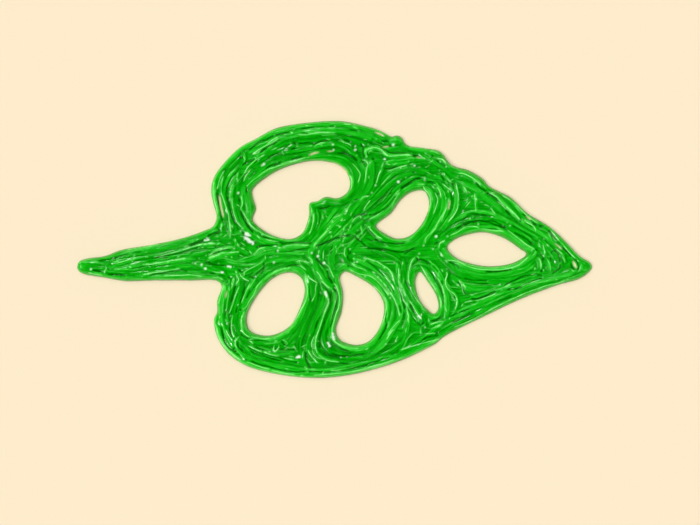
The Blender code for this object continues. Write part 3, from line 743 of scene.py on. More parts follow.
SOFT_CRESTS = """
144.6,264.9 152.4,264.1 163.7,261.9 174.1,260.2 187.9,258
80.5,264.1 81.3,269.3
129,266.7 132.5,267.5
111.7,262.3 120.3,260.6
469.4,293.5 471.5,294.9 474.3,294.2
461,306.8 463.1,303.3
534.9,266.9 534.1,270.4
0.8: 503,287.9 507.2,285.1 511.4,283
510,289 514.2,288.3
1.1: 454,327.1 471.5,320.1 485.5,312.4 496,306.8 513.5,298.4 524,293.5 543.6,286.5
449.1,319.4 449.8,317.3
469.3,202 464.7,208
480,228.7 490,230 500,231 504.7,231.3
1.1: 468.7,220 470.7,217.3
476,207.3 474.7,212
236.2,168.6 230.3,173.7 227.8,177.4
232.2,197.2 232.9,207.5 235.5,217.7 237.7,222.9 244.3,229.5
251.6,168.6 246.5,175.2 243.5,181.8
213.7,181 213.3,191.3 214.4,200.9 216.6,208.9 217.3,215.5
298.8,134.7 306,135 315,133.2 324,132.6 336,132.6
280.2,164.4 288,162 297,160.2 303,159
277.8,147.6 270.6,150.6
283.8,135 286.2,134.4
279,136.8 273,139.8 267,144
0.8: 267,148.8 273.6,144.6
305.4,126 307.8,125.7
327,126.5 329.4,127.8 334.2,127.8 335.4,126
0.8: 325.2,139.2 331.2,139.8
337.8,141 341.4,140.4 345,142.8
551.5,236.1 554.1,239.9 557.3,242
576.5,259.6 578.7,262.3
581.3,263.3 579.7,268.1 577.6,272.4
566.4,278.8 568.5,279.9
530.1,274.8 536,273.5
0.8: 520,286.8 530.7,282.5 541.3,279.3
536,289.5 545.6,285.7 557.3,283.1 565.3,280.4
231.3,329 232.3,334.3 234.3,337.7
239.7,335.7 236.3,339.7 235.3,343.7 236.7,347.7
270.3,370 277,371.7 286.3,373.3 296.3,374.7
299.7,375.2 303.7,375.2
250.3,336.3 256.3,337.7 263,338.7 270.3,337.7
1.1: 249,340.3 251.7,342.3 253.3,344.7
267.7,351.3 271.7,351.7
273.7,341 278,340.3
284.3,345.7 286.3,346.3
288.3,356 295,356.7
331,224.7 327.7,229.5 324.5,233.8 319.7,238 316,242.3 313.3,247
332.3,219.4 333.6,218 338,216 342,213.8
360.5,215.7 356,217.8 353.3,220.5 351.7,223
361.3,225.8 360.8,228.5 361.9,231.7
336.8,247 336.3,254.6
351.7,263 356,266.9 361.3,268.5 367.7,271.7
360,247.7 368,247.5
400,155.3 407.2,154.7 413.2,155.6
416.2,184.4 425.2,184.1
471.4,200 464.8,207.8
372,285 378.7,291 384,298.3 386,305 385.7,311.7 384,319 379.3,327.7 373.3,336.3
406.7,327 404.7,333.7
443.3,322.3 439.3,326 435.3,327.7
424,333.7 436,333
396.7,286.3 400,295.7 400.7,303
366.1,151 368.9,149.1 373.6,147.7 378.7,148.7 382,150.5 384.8,153.3 388.5,156.1 396,155.9 405.3,155.4
    413,156
348.9,174.8 351.2,179.5 351.7,185.1 350.5,191
340,141.2 345.1,143.1 349.3,144.5 352.1,147.3
386.7,171.5 391.8,169.7 399.3,167.3 407.7,165
0.6: 380.6,186 386.7,179 391.3,174.8
395.1,196.3 397.4,191.6 400.2,190.2
335.8,291.1 336.2,298.6 333.1,310.8 330.4,320.3
312,349.6 314,354.4 318.1,357.8 325.6,359.1
329.7,370.7 341.3,370
208.1,257.9 213.7,255.4 221.7,253 229.1,252.8 235.7,251.9 239.9,251.2
208.1,258.7 213.7,256.6 221.7,254.2
254.8,253.7 257.1,250.9 260,248.6 266,247.2
250.6,282.2 248.3,286.9 245.9,291.1
263.2,279.4 259,284 255.3,289.2
224,284 223.1,288.3 222.1,291.5
228.4,287.3 230,291
241.3,227.6 245,229.5
429,151.2 435,152.2 440,154.8
338,264 347,263.7
378.5,277.5 383.5,283.5 387.5,289.5 389.5,295
429,325 436,322.3 444,320.8
430,329.3 436,326.3 441.5,324
319.8,203.7 325.8,204
285.4,245.4 295.2,245 309.2,245.4
318,354.3 327,360 339.7,362
446,260.2 456.3,261.2 470.6,267.3 483,269.4 503.3,269.4 517.6,265.3 527.8,257
228,188 231.5,180.5 235.5,175
1.2: 423,185.5 424.2,189 428.2,193.4 430.2,198 430.3,203.5 428.8,209 426,215
257.5,177.5 265.5,171 276.5,167 289.5,163 298.5,160 307,157
299,235 307,227 309.5,218
399.5,191.5 394.5,200 391.5,209
368.5,219.5 376.5,215.5 384.5,210.5
359.5,201.5 363.5,197 370,196
442,183.5 447.5,188 453,191.5
474.5,193 475.5,211
349,269 359.5,274 369.5,276 378,282 385.5,291 389,296.5
400.5,319 392.5,327.5 387,335.5
383.5,275 390.5,283
387,328.5 389,320.5
394.5,343 398,335.5
399.5,350 419.5,344 440.5,338.5
350.5,348 359.5,348
364.5,350 369,347.5
295,261.5 302,261 310.5,263
306.5,256.5 312,260 312.5,265
265.5,255 265.5,260
264.5,238.5 270.5,240.5 279.5,242
277,248 282,247.5
235,278 231.5,289
233.5,277 231.5,285.5
313,375 341,373 362,369.5 383,363.5 395,359
330,371 341,369.5
168,254 183.5,250 193.5,246.5 203.5,244 213.5,244
126.5,250 144,246.5 160,244
208.5,255.5 218.5,250.5 229,248
114.5,264 130.5,259.5 138.5,257
219,278 224,280.5
"""
DEEP_CREASES = """
1.2: 112.5,258.8 117,258.3
92.6,270.1 102.1,271.4
107.3,274.5 116,274.5 125.5,275.3
0.8: 151.5,274.5 163.7,272.7 176.7,271 181.9,270.6
189.7,245.9 200.1,242.8 207,241.5
191.9,253 192.5,254.4
205.3,259.7 207,264
1.4: 484.8,271.5 492.5,271.8 503,270.8 512.1,269.4
1.3: 457.5,280.7 461,285.6 463.8,291.2 465.9,294.4
1.2: 441.4,279.5 442.8,285.8
1.2: 470.1,298.4 476.4,298.8 484.8,296.3 490.4,293.5 496,291
0.7: 535.9,275 542.9,276.4
461,311 466.6,310.3
501.2,283.6 501.6,285.6
1.3: 470,222 477.3,221.7
0.8: 486,220.7 493.3,221.3 500,224.7 506.7,228
480,214.3 488,216
0.7: 486.7,228.7 498.7,229.3
1.2: 519.3,220.7 521,221.3
504.7,208.7 510.7,216.7
500,204 504,207.3
1.2: 450,201.3 448.7,206 447.3,210
533.4,250.2 534.6,251.2
0.8: 513.3,232 526.7,239.3 533.3,245.3
227.8,195.7 229.6,206 231.4,212.6 234,219.2 236.9,225.8
1.2: 240.6,209.7 242.8,216.3 246.5,222.9 250.9,228.7
239.1,197.2 240.2,203
242.1,156.2 242.4,157.6
242.1,165.3 244.2,163.6 245.2,162.4
0.9: 247.9,151 253.1,147.3 259.8,141.6 266.4,139.8 270.6,137.4 274.8,135.6
1.1: 274.8,135.6 281.4,134.1 289.8,132
259.8,153 264,150 270,145.8 275.4,142.8 277.8,141 282,140.4
0.7: 266.4,159 272.4,155.4 276,154.2 280.2,152.7
290.4,149.4 297,147.9
0.8: 293.4,141.6 296.4,144.9
0.7: 298.2,143.7 309,143.1 315,143.7 318.6,142.2 324,140.7 330,141
0.7: 289.8,160.2 297,158.4 303,156.6
265.8,169.2 270,166.2 276,164.4 282,162
331.2,149.8 331.4,150.4
335.3,148.4 335.1,149.4
521.1,213.2 525.3,215.9 528.5,218
1.3: 531.5,221.7 534,224 537.6,225.8
544.5,226.5 538,225.8
1.2: 523.2,222.3 528,224.4 532.8,227.6
546.7,229.7 549.9,232.9 552,236.7 554.1,241.5
1.2: 548.8,229.7 553.1,235.1 557.3,241
1.3: 562,246.5 565,250.2 568,252.7 571.2,257.5
1.6: 541.2,269.6 541.6,272
1.6: 540.4,270.6 542.6,270.8
0.8: 539.7,250.5 541.3,254.8 543.5,258 542.4,263.3
534.4,248.4 537.6,251.1
0.8: 550.9,254.3 552,251.6 554.7,250.5 557.3,252.7 559.5,258 560,263.3
1.1: 560,263.3 559.7,267.6 557.3,269.7 554.1,271.9 551.5,274
572.6,256.9 576.8,261.7 578.4,268.1 576.9,270.6
570.4,262 572,267.2 574.8,270.3
0.8: 536,274.5 542.9,275.6
1.1: 221.7,326.3 223,334.3 225.7,342.3 229,347.7 233,351
230,322 230.3,329 231,333 233,338.3
234,345.5 235,350.3 237.3,352.8
0.8: 240.3,331.7 242.3,335 246.3,337.3 250.3,339 258.3,340.3 270.3,341
0.9: 250.3,360.3 259.7,364.3 268.3,366.3 279.7,369.7 293,371.7 306.3,371.7
0.8: 281,339.7 283.7,343.7 288.3,347
1.2: 368.5,228 370,231 373,234.7 377,237.8
374,239 383.5,242.3 394.5,243.5 406,243
1.2: 353.9,235.4 357,239 360.3,241.8
326.1,241.8 329.3,241 334.7,238.3 342.1,236.7 352.3,236.5
348,264.2 349,267.9
320.3,259.4 323.5,265.3
326.7,270 328.3,273.3
425.8,182.3 431.8,182.3 435.4,184.4
430.6,155.9 434.2,156.8
436,160.4 438.4,162.2 439.6,164
409,155 416.8,156.2 422.2,158.3
437.5,192.2 439,195.8
486.4,192.2 490,194.6
1.6: 400,188.6 403,186.4 407,184 412,180.9 416.5,179 422.2,178.4
1.4: 400.9,189.4 403.8,187.3 407.8,184.9 412.6,181.8
397.3,287 400.7,295 403.3,301.7 405.3,309.7
386,285.7 391.3,293
1.2: 409.3,303 412,308.5 417.5,316.3
430.7,321 436,319.7 442,315.7
387.3,322.3 385.3,329 381.3,335.7 378.7,340.3
405,279.7 409.3,288.3 412,293 417.3,301
361.5,159.9 362.9,162.7 365.7,164.5
340,152.4 343.7,152.9 347,154.3 350.7,157.1
363.3,148.7 362.9,152.4 364.3,156.1 366.1,158
369.9,159.4 372.7,158.9 375.9,159.9
380.6,141.2 389,141.4
388.5,145.4 391.3,145.9
0.8: 379.2,145.9 382.9,148.7 386.7,151 390.4,152.9 398.3,152.9 407.7,153.3
0.8: 342.8,139.3 349.3,141.7 351.7,143.5
1.2: 328.3,272.7 329,276.8 331.7,281.6 333.1,283.6
335.8,288.5 337.2,295.2 336.5,302.7 334.5,310.1 331,320.3
1.1: 330.4,339.4 334.5,344.1 341.3,348.2 349.4,351.6
319.5,344.1 320.9,348.2
305.9,351.6 307.2,360.5 311.3,368.6
0.9: 309.3,281.6 310,292.4 310.6,302
1.3: 246.4,224.3 248.7,227.1 250.6,229 252.5,230.9 252.9,233.7
206.7,236 210,234.6 215.6,233.2 218.4,232.7 219.6,230.9 218.9,229 216.5,229
1.3: 241.7,232.3 244.1,233.7 245,236 247.8,236.9 249.7,238.3
258.5,234.1 260.9,235.5 265.1,237.4 270.7,240
1.1: 256.2,247.7 261.3,245.8 268.3,245.3 273,245.8
1.2: 237.1,268.7 241.3,271.5 242.7,272.9
245.9,274.4 246.4,276
0.8: 248.7,276.1 254.3,277.5 259,277.1
208.6,272.2 212.3,273.3 216.5,273.8
226.3,275.7 229.6,278 231.9,278.9
228.9,283.5 229.3,285.5
216.1,245.9 215.5,247.5
0.8: 210.5,255.6 217,252.8 223.5,250.2 232,250
440.6,174 442.2,177.6 445,181.6
466.8,190.6 468.2,196
240.5,157 241.5,158.5
242.8,164.8 243.8,166
404.8,143.5 405.8,144.5
311.5,264.5 312.5,265.5
331,279.5 332,280.5
435.3,247 436.3,248
217,191.7 218.6,201.3 221,214 223.3,222.8
349.7,154.8 358,161.4
434.5,244.8 438.5,241.6
399.6,303.6 401.4,314.3
454,294.6 456,299
386,310 385.4,324
419.3,326 424.6,321.4
318.5,208.5 325,208 330.5,205.5
368,215.5 374,214.5 380,211.5
473.5,181.5 481,188 487,192
486,193 494,197.5 501,204 506.5,210
463.5,225.5 472.5,221.5 485,221.5 497,225.5 505.5,228.5
503.5,285.5 511.5,281.5 523.5,276.5 538,273.5
505.5,290 517.5,288 532,281.5 543,278
280,244.5 288,243.5 301,242.5 312.5,243.5
315,247 324,243 332.5,240 342,236 352.5,235
316,258 322,264.5 327,268.5
271.5,277 276.5,274.5
241.5,308.5 240,311
306,351 306.5,360 311,369
206.5,261.5 213.5,264.5 227,265.5
437,332 438,334
415.5,258 424,260.5 431,264.5
356.5,236.5 367.5,247 383.5,249 401.5,252 415.5,247.5
349.5,250 351,255
"""
FAINT_CREASES = """
98.7,260.6 111.7,259.3
137.7,269.3 150.7,267.5 163.7,265.8 172.3,264.5
132.5,252.8 142.9,251.9
160.2,258 168.9,258
463.1,278.1 473.6,280.2 489,280.2
478.5,283.7 489,283.7
451.9,322.9 463.1,318 475,312.4
465.3,215.3 473.3,213.3 480,214.3
466.7,223.3 460,226.7 455.3,230
448,261.3 456,262.7
253.1,164.9 258.9,159
246.5,184 247.2,194.3
221.5,172.3 226.7,167.9
300,133.2 309,133.5
300,129.9 306.6,128.1 315,127.5
327.6,126.3 334.8,126
336,152.7 345,152.7
550.4,255.3 550.7,261.7
247.7,347 255.7,351.7 263.7,354.3 273,357 279.7,357.7 289.7,361 299.7,363
1.3: 249,350 257,354.3 265,356.5 274,359 283,361
254.3,346.3 259.7,348.3 266.3,350.3
1.2: 349,247 348.5,251 349,255
342.7,237 342.7,241.3
359.2,246.6 366.7,248.2 377.3,249.3 385.3,250.9
324,210.9 325,214
411.4,172.7 416.2,172.7
416,256.3 418,260.3 421.3,259.7 429.3,262.3
403.3,255 409.3,251 415.3,248
449.3,261 457.3,263
331.7,355.4 349.4,355.4
339.9,363.2 349.4,363.9
263.7,266.8 261.3,272.4 259.5,275.7
383.9,168.7 391.3,168.3 398.3,165.9
370.3,138.9 375.5,140.3
431.5,264.5 436.5,269.5 439,273
365.3,259.3 375,267.3
364.6,237.8 375,242
333.4,284.8 336.2,293.2 337,303 333.4,317 330,328.3
344.6,368.3 362.2,365.5 376.2,361.3 390.3,357
243.5,164.5 256,158.5
241.5,182 245,175 253,169.5
226.5,189.5 231.5,179
274.5,242 312.5,243
336.5,153 348,155 353,160
360,143 363,148 363,156.5
348,130 359,131
452,181 454.5,190.5
352.5,200 359.5,199.5
460,224 469.5,221.5 475,222.5
376.5,201.5 385,196 393,192
511.5,224.5 526.5,233.5 534,238
448,262 455.5,264.5 460.5,269.5
460.5,221.5 470.5,215.5 486,215.5 493,217.5
255,247.5 264.5,245.5 279.5,244.5
274,251.5 284.5,252 302,249 311.5,247.5
263,261.5 264.5,267 261.5,274
248,277 256.5,277.5
285.5,267 294,264.5 302,266.5
315.5,246 323,244 330.5,242
246,285.5 242.5,295
251.5,288 246,299.5
352.5,218 359.5,214.5 368,215
332.5,244.5 330.5,255
340.5,270.5 346,269.5
348.5,264.5 354,268
228,308.5 225.5,315.5
238,304.5 236,314.5
238,340.5 238.5,346.5 244.5,352
245,291 240,303
236.5,284 233,296 231,303
331.5,291 330.5,298 330,303
318,319 315,329.5
325.5,320 322,329.5 320,338 320,348
330.5,338 332.5,344 338.5,348.5 348,351
323,351 327,354.5 337.5,356.5 348,355.5
308,371 327,372 348,369.5 369,364.5
373,265 383.5,275 392.5,287.5 394.5,293
407,305.5 414,319 421,326
440,285.5 442.5,296.5 443.5,305.5
330,353.5 348,356 365.5,353.5
421,340 430,336.5 440,335.5
431,321.5 441.5,318
449.5,317 458.5,312.5 470,309
108.5,259.5 117.5,257 130.5,253.5
110.5,274.5 119.5,275 126.5,276
154,258 170,255 184,252 200,247
130.5,269.5 146,266.5 160,264
159,274 169,272 182,270 188.5,271.5
188.5,245 203.5,240 211.5,234.5 218.5,231
"""

# Beads where the pen stopped or touched down: breadth, then the middle
SPECKS = """
1.6: 365.3,225 350.7,215 336.8,225.5 361.9,234 357.6,230.3 339.5,240.5 337.3,240.2 340.5,244.2 445.9,167.3
    439.3,170.3 412.3,164 408.4,161.3 419.8,167.6 457.6,176.3 461.2,176.3 463.9,192.2 483.4,193.1
    446.2,198.2
    419.2,155 429.4,157.4 432.4,160.4 363.3,163.4 400.7,179.5 405.8,178 365.2,151.5 356.6,155.7 376.4,139.1
    368,144.7 206,255.4 209,254.2 218.6,263.5 233.8,266.8 264.6,250.7 231.5,276.6 227.3,284 221.2,234.6
    224.7,224.3 327.6,269.6 248.8,211.9 321.6,145.2 311.4,145.8 290.4,143.4 257.4,156 282.6,151.2
    277.2,162.6
    199.2,258.4 206.1,255.4 446.6,269.3 456.8,284.4 501.2,290 455,326.6 457.9,312.4 522,219.3 472.7,217.3
    462.7,225.7 502.7,225.3 506.7,222.7 173.2,260.2
    552.5,267.6 573.3,276.7 235,349.7 236.3,352.3 307.7,371.7 299.8,336.2 255.7,153.4
2: 423.5,245.5 442.3,174.2 148.9,273.6 113.8,258 386,344 463,211 365,276.5 345.3,213.8 478,224.3 509.7,225.7
    447.3,236.3 499.5,284.7 195.7,263.2
    340,226.8 329.9,232.5 342.9,245.5 424.6,177.8 419,253.7 433,249 425,327.3 458,285 378,277 390,297.7
    355.2,146.6 240.6,231.1 221,248.8 234.3,248.6 371.7,193
2.2: 375.5,185.5 424.6,180.2 278,251 346.2,211.2 230.5,192 357,262
2.4: 414.4,165.8 222.4,272.4 207,238 311.8,253 333,144.9 333.6,150 262.2,165.6 243.7,359
2.6: 384.6,159.2 274,262.5 238.5,193 201.8,264.9 91.3,269.2
3: 355.2,150 398.3,182 393.2,144.9 436,236.5 205.6,268.7 264,164.4 317.9,256.2 324,263
4: 247,234
"""

# Small flecks where many lines cross: spread in points and how many, then the middle
FLECK_CLUSTERS = """
14 18: 340,236
12 8: 345,222
14 14: 232,250
12 6: 252,240
12 6: 368,155
16 14: 432,170
14 12: 470,195
18 8: 545,248
20 14: 412,295
16 6: 322,285
14 8: 310,345
30 8: 260,350
20 16: 140,264
20 20: 190,258
"""

# Flat patches that face the light: breadth, then points
PATCHES = """
3.4: 246,233.4 247.8,234.4
2.8: 245.8,238.1 247.8,239.3 250.1,241.4
2.6: 249.4,241.8 252.8,242.3
1.6: 228,266.4 231,266.8
1.6: 221.5,272.3 223,272.6
1.6: 205,240.2 208.6,240.3
2: 328,342.8 329.8,346
2.2: 297,357.2 299.5,356.6
1.8: 325.2,292.2 326.8,296.3
1.8: 332.6,333 333.6,338.5
1.4: 418.6,315.8 420.4,318
"""

# Thin films between lines, lower and paler than the plastic round them: width, then points
FILMS = """
0.8: 219.5,196 221,206 223.5,217
0.8: 375,132.4 380,134.2 384,136.3
0.9: 309,155.5 313.5,153.5 318.5,152.5
0.7: 383,147.5 388.5,146.5
0.6: 416.5,157 421,158.3
0.7: 226.5,291 225.5,298
1.1: 572.8,261.3 574.5,264.7 576.2,267.8
0.7: 526,216 530.5,220
0.5: 554.5,243.2 558.4,246.5 561.5,249.3
0.5: 327,151.5 333,151.2
1.6: 330,163.2 336,165.2 342,168.6 347.5,174
0.6: 449.6,201 448,209.7
"""


def strokes(text):
    """The rows of a block of drawing data: the numbers before the colon, and the points after it."""
    found = []
    for row in text.replace("\n    ", " ").split("\n"):
        if row:
            given, _, points = row.rpartition(":")
            pairs = [tuple(float(value) for value in point.split(",")) for point in points.split()]
            found.append(([float(value) for value in given.split()], pairs))
    return found


def place(points):
    """Picture points as millimetres, along and across the leaf."""
    picked = np.array(points, float)
    return np.column_stack([(picked[:, 0] - PICTURE_CENTRE[0]) * POINT,
                            (PICTURE_CENTRE[1] - picked[:, 1]) * POINT])


def smooth_curve(points, closed=False):
    """A centripetal Catmull-Rom curve through picture points, in millimetres and short even steps."""
    points = place(points)
    if closed:
        guides = np.vstack([points[-1:], points, points[:2]])
    else:
        guides = np.vstack([2 * points[0] - points[1], points, 2 * points[-1] - points[-2]])
    curve = []
    for a, b, c, d in zip(guides, guides[1:], guides[2:], guides[3:]):
        knots = [0.0]
        for start, end in ((a, b), (b, c), (c, d)):
            knots.append(knots[-1] + max(math.dist(start, end), LEAST_KNOT) ** 0.5)
        steps = max(1, int(math.ceil(math.dist(b, c) / CURVE_STEP)))
        for step in range(steps):
            t = knots[1] + (knots[2] - knots[1]) * step / steps
            first = a + (b - a) * (t - knots[0]) / (knots[1] - knots[0])
            second = b + (c - b) * (t - knots[1]) / (knots[2] - knots[1])
            third = c + (d - c) * (t - knots[2]) / (knots[3] - knots[2])
            left = first + (second - first) * (t - knots[0]) / (knots[2] - knots[0])
            right = second + (third - second) * (t - knots[1]) / (knots[3] - knots[1])
            curve.append(left + (right - left) * (t - knots[1]) / (knots[2] - knots[1]))
    curve.append(curve[0] if closed else points[-1])
    return np.array(curve)


leaf_edge = smooth_curve(OUTLINE, closed=True)
hole_edges = [smooth_curve(points, closed=True) for points in HOLES.values()]
low_corner = leaf_edge.min(axis=0) - MARGIN
high_corner = leaf_edge.max(axis=0) + MARGIN
grid_x = np.arange(low_corner[0], high_corner[0], GRID)
grid_y = np.arange(low_corner[1], high_corner[1], GRID)
grid_start = np.array([grid_x[0], grid_y[0]])
SHAPE = (len(grid_y), len(grid_x))
rng = np.random.default_rng(RANDOM_SEED)

# What a curve is to the grid points near it: a window of the grid, and for each point there how far off the
# curve is, how far along it lies, how far that is from the curve's nearer end, on which side of it the point
# lies and which way it heads. Then the curve's length
Nearness = namedtuple("Nearness", "window far run to_end side heading length")


def grid_place(points):
    """Millimetre points as columns and rows of the grid, with fractions."""
    return (points - grid_start) / GRID


def window_of(low, high):
    """The slices of the grid that cover a box, and their coordinates."""
    columns, rows = [slice(max(0, int(start)), max(0, int(stop) + 2))
                     for start, stop in zip(grid_place(low), grid_place(high))]
    return (rows, columns), grid_x[columns][None, :], grid_y[rows][:, None]


def put(field, window, where, values):
    """Write values into a window of a field, where a mask says so."""
    field[window] = np.where(where, values, field[window])


def near(curve, reach):
    """The nearness of a curve to the grid points within reach of it."""
    window, xs, ys = window_of(curve.min(axis=0) - reach, curve.max(axis=0) + reach)
    shape = (ys.shape[0], xs.shape[1])
    far = np.full(shape, FAR_AWAY)
    run = np.zeros(shape)
    side = np.zeros(shape)
    heading = np.zeros(shape)
    covered = 0.0
    for start, end in zip(curve, curve[1:]):
        length = math.dist(start, end)
        if length < SAME_POINT:
            continue
        along = (end - start) / length
        part, px, py = window_of(np.minimum(start, end) - reach, np.maximum(start, end) + reach)
        part = tuple(slice(own.start - whole.start, own.stop - whole.start)
                     for own, whole in zip(part, window))
        dx = px - start[0]
        dy = py - start[1]
        reached = np.clip(dx * along[0] + dy * along[1], 0.0, length)
        distance = np.hypot(dx - reached * along[0], dy - reached * along[1])
        closer = distance < far[part]
        put(far, part, closer, distance)
        put(run, part, closer, covered + reached)
        put(side, part, closer, np.sign(along[0] * dy - along[1] * dx))
        put(heading, part, closer, math.atan2(along[1], along[0]))
        covered += length
    return Nearness(window, far, run, np.minimum(run, covered - run), side, heading, covered)


def filled(curve):
    """Which grid points a closed curve holds, by counting its crossings along each grid row."""
    flips = np.zeros((SHAPE[0], SHAPE[1] + 1), int)
    for (x0, y0), (x1, y1) in zip(curve, curve[1:]):
        if y0 == y1:
            continue
        rows = np.nonzero((grid_y >= min(y0, y1)) & (grid_y < max(y0, y1)))[0]
        crossings = x0 + (grid_y[rows] - y0) * (x1 - x0) / (y1 - y0)
        np.add.at(flips, (rows, np.searchsorted(grid_x, crossings)), 1)
    return np.cumsum(flips, axis=1)[:, :-1] % 2 == 1


edge_distance = np.full(SHAPE, EDGE_REACH)
edge_heading = np.zeros(SHAPE)
inside = filled(leaf_edge)
for hole in hole_edges:
    inside &= ~filled(hole)
for edge in [leaf_edge] + hole_edges:
    line = near(edge, EDGE_REACH)
    nearer = line.far < edge_distance[line.window]
    put(edge_distance, line.window, nearer, line.far)
    put(edge_heading, line.window, nearer, line.heading)
edge_distance = np.where(inside, edge_distance, -edge_distance)


def blurred(field, reach):
    """The field under a Gaussian blur of a reach in millimetres."""
    rows = np.fft.fftfreq(SHAPE[0], GRID)[:, None]
    columns = np.fft.rfftfreq(SHAPE[1], GRID)[None, :]
    gain = np.exp(-2 * (math.pi * reach) ** 2 * (rows ** 2 + columns ** 2))
    return np.fft.irfft2(np.fft.rfft2(field) * gain, SHAPE)


def grain(amount, reach):
    """Seeded soft noise of a spread, with features of a size in millimetres."""
    noise = blurred(rng.standard_normal(SHAPE), reach)
    return amount * (noise / noise.std())


def waver(run, seed, amount, reach):
    """A slow irregular wave along a line, within about an amount either way."""
    wave = WAVER_SHIFT[0] * math.sin(WAVER_SHIFT[1] * seed)
    for size, pace, phase in WAVES:
        wave = wave + size * np.sin(pace * run / reach + phase * seed)
    return amount * wave


def fused(one, other):
    """The higher of two surfaces, melted together where they meet."""
    overlap = np.clip(FUSE - np.abs(one - other), 0, None) / FUSE
    return np.maximum(one, other) + overlap ** 2 * FUSE / 4


def bed(reach):
    """The surface so far without its fine detail."""
    return blurred(np.where(inside, height, SHEET), reach)


height = SHEET + grain(*SHEET_GRAIN)
# Random shades of the sheet and the lines; the marks and droplets later add painted highlights and painted
# shade to them
tone_and_painted_light = grain(*SHADE_GRAIN)
flow_heading = edge_heading.copy()
along_line = np.broadcast_to(grid_x[None, :], SHAPE).copy()
across_line = np.broadcast_to(grid_y[:, None], SHAPE).copy()
stroke = np.zeros(SHAPE)
rim_depth = np.full(SHAPE, NO_RIM)


def lay(points, width, top, number):
    """Lay one line of plastic on what is there."""
    seed = number * SEED_STEP
    reach = width * POINT / 2
    line = near(smooth_curve(points), reach * LINE_REACH)
    end = np.clip(line.to_end / END_RUN, 0, 1)
    end = end * end * (3 - 2 * end)
    half = reach * (1 + waver(line.run, seed, *WIDTH_WAVER)) * (END_WIDTH + (1 - END_WIDTH) * end)
    out = np.clip(line.far / half, 0, 1)
    under = height[line.window]
    base = bedding[line.window]
    crown = np.maximum(top + waver(line.run, seed + CROWN_SHIFT, *CROWN_WAVER), base + LEAST_RISE)
    crown = np.minimum(crown - END_DROP * (1 - end), TALLEST)
    bead = np.sqrt(1 - out ** BEAD_POWER)
    lean = LEAN * math.sin(seed * LEAN_STEP)
    surface = base + (crown - base) * bead + lean * line.side * out * bead
    covered = line.far < half
    shown = covered & (surface > under - SHOWN_SLACK)
    shade = math.sin(number * SHADE_STEP) + waver(line.run, seed + SHADE_SHIFT, *SHADE_WAVER)
    put(height, line.window, covered, fused(under, surface))
    put(tone_and_painted_light, line.window, shown, shade)
    put(flow_heading, line.window, shown, line.heading)
    put(along_line, line.window, shown, line.run)
    put(across_line, line.window, shown, line.side * line.far)
    put(stroke, line.window, shown, number)
    put(rim_depth, line.window, shown, half - line.far)


number = 0
for level, top in enumerate(LEVELS):
    bedding = bed(BEDDING_BLUR)
    for (width, line_level), points in strokes(LINES):
        number += 1
        if line_level == level:
            lay(points, width, top, number)
        if number % BEDDING_LINES == 0:
            bedding = bed(BEDDING_BLUR)

# Molten plastic fills the valleys between lines part of the way
height = fused(height, blurred(height, VALLEY_BLUR) - VALLEY_DEPTH)

# The way the plastic was drawn out, as a doubled angle so that both directions count as one
double_cosine = blurred(np.cos(2 * flow_heading), FLOW_BLUR)
double_sine = blurred(np.sin(2 * flow_heading), FLOW_BLUR)
flow_angle = 0.5 * np.arctan2(double_sine, double_cosine)
flow_x = np.cos(flow_angle)
flow_y = np.sin(flow_angle)


def drawn_out(breadth, length):
    """Noise smeared along the flow, as the pen smeared the plastic."""
    noise = grain(1.0, breadth)
    rows, columns = np.indices(SHAPE).astype(float)
    total = noise.copy()
    count = 1
    for direction in (1.0, -1.0):
        row = rows.copy()
        column = columns.copy()
        step_x = direction * flow_x
        step_y = direction * flow_y
        for step in range(int(length / GRID)):
            row = np.clip(row + step_y, 0, SHAPE[0] - 1)
            column = np.clip(column + step_x, 0, SHAPE[1] - 1)
            cell = (row.round().astype(int), column.round().astype(int))
            turn = np.sign(flow_x[cell] * step_x + flow_y[cell] * step_y)
            turn[turn == 0] = 1
            step_x = flow_x[cell] * turn
            step_y = flow_y[cell] * turn
            total += noise[cell]
            count += 1
    smeared = total / math.sqrt(count)
    return smeared / smeared.std()


streaks = drawn_out(*STREAK)
broad_streaks = drawn_out(*BROAD_STREAK)
lumps = grain(1.0, LUMP)
ragged = grain(*RAGGED_EDGE)

mark_side = {"crest": np.full(SHAPE, MARK_REACH), "crease": np.full(SHAPE, MARK_REACH)}
mark_power = {"crest": np.zeros(SHAPE), "crease": np.zeros(SHAPE)}


def faded(line):
    """One along a mark, falling to nothing at its ends."""
    return np.clip(line.to_end / min(MARK_END, MARK_END_SHARE * line.length), 0, 1)


def press(curve, breadth, rise, shade, base=None):
    """Raise or sink a thin mark along a curve, levelling what is there first where a base is given; its shade
    paints the mark paler as a painted highlight or darker as painted shade.
    """
    line = near(curve, MARK_BREADTHS * breadth)
    end = faded(line)
    seed = line.length * BREADTH_SEEDS[0] + rise * BREADTH_SEEDS[1]
    reached = np.minimum(line.far / (breadth * (1 + waver(line.run, seed, *BREADTH_WAVER))), MOST_BREADTHS)
    if base is not None:
        levelled = LEVELLED * end * np.exp(-(reached / LEVELLED_BREADTHS) ** FLAT_POWER)
        height[line.window] += levelled * (base[line.window] - height[line.window])
    swell = 1 + waver(line.run, rise * RISE_SEED + line.length, *RISE_WAVER)
    mark = np.exp(-reached ** 2) * end * swell
    height[line.window] += rise * mark
    tone_and_painted_light[line.window] += shade * mark


def left_of(curve):
    """The unit step to the left of the straight line from a curve's start to its end."""
    chord = curve[-1] - curve[0]
    return np.array([-chord[1], chord[0]]) / np.linalg.norm(chord)


def shade_turn(curve):
    """One where the left of a curve lies away from the light, and minus one where it lies towards it."""
    return 1 if left_of(curve) @ np.array(AWAY_FROM_LIGHT) >= 0 else -1


def beside(curve, distance):
    """A curve moved sideways, away from the light."""
    return curve + shade_turn(curve) * left_of(curve) * distance


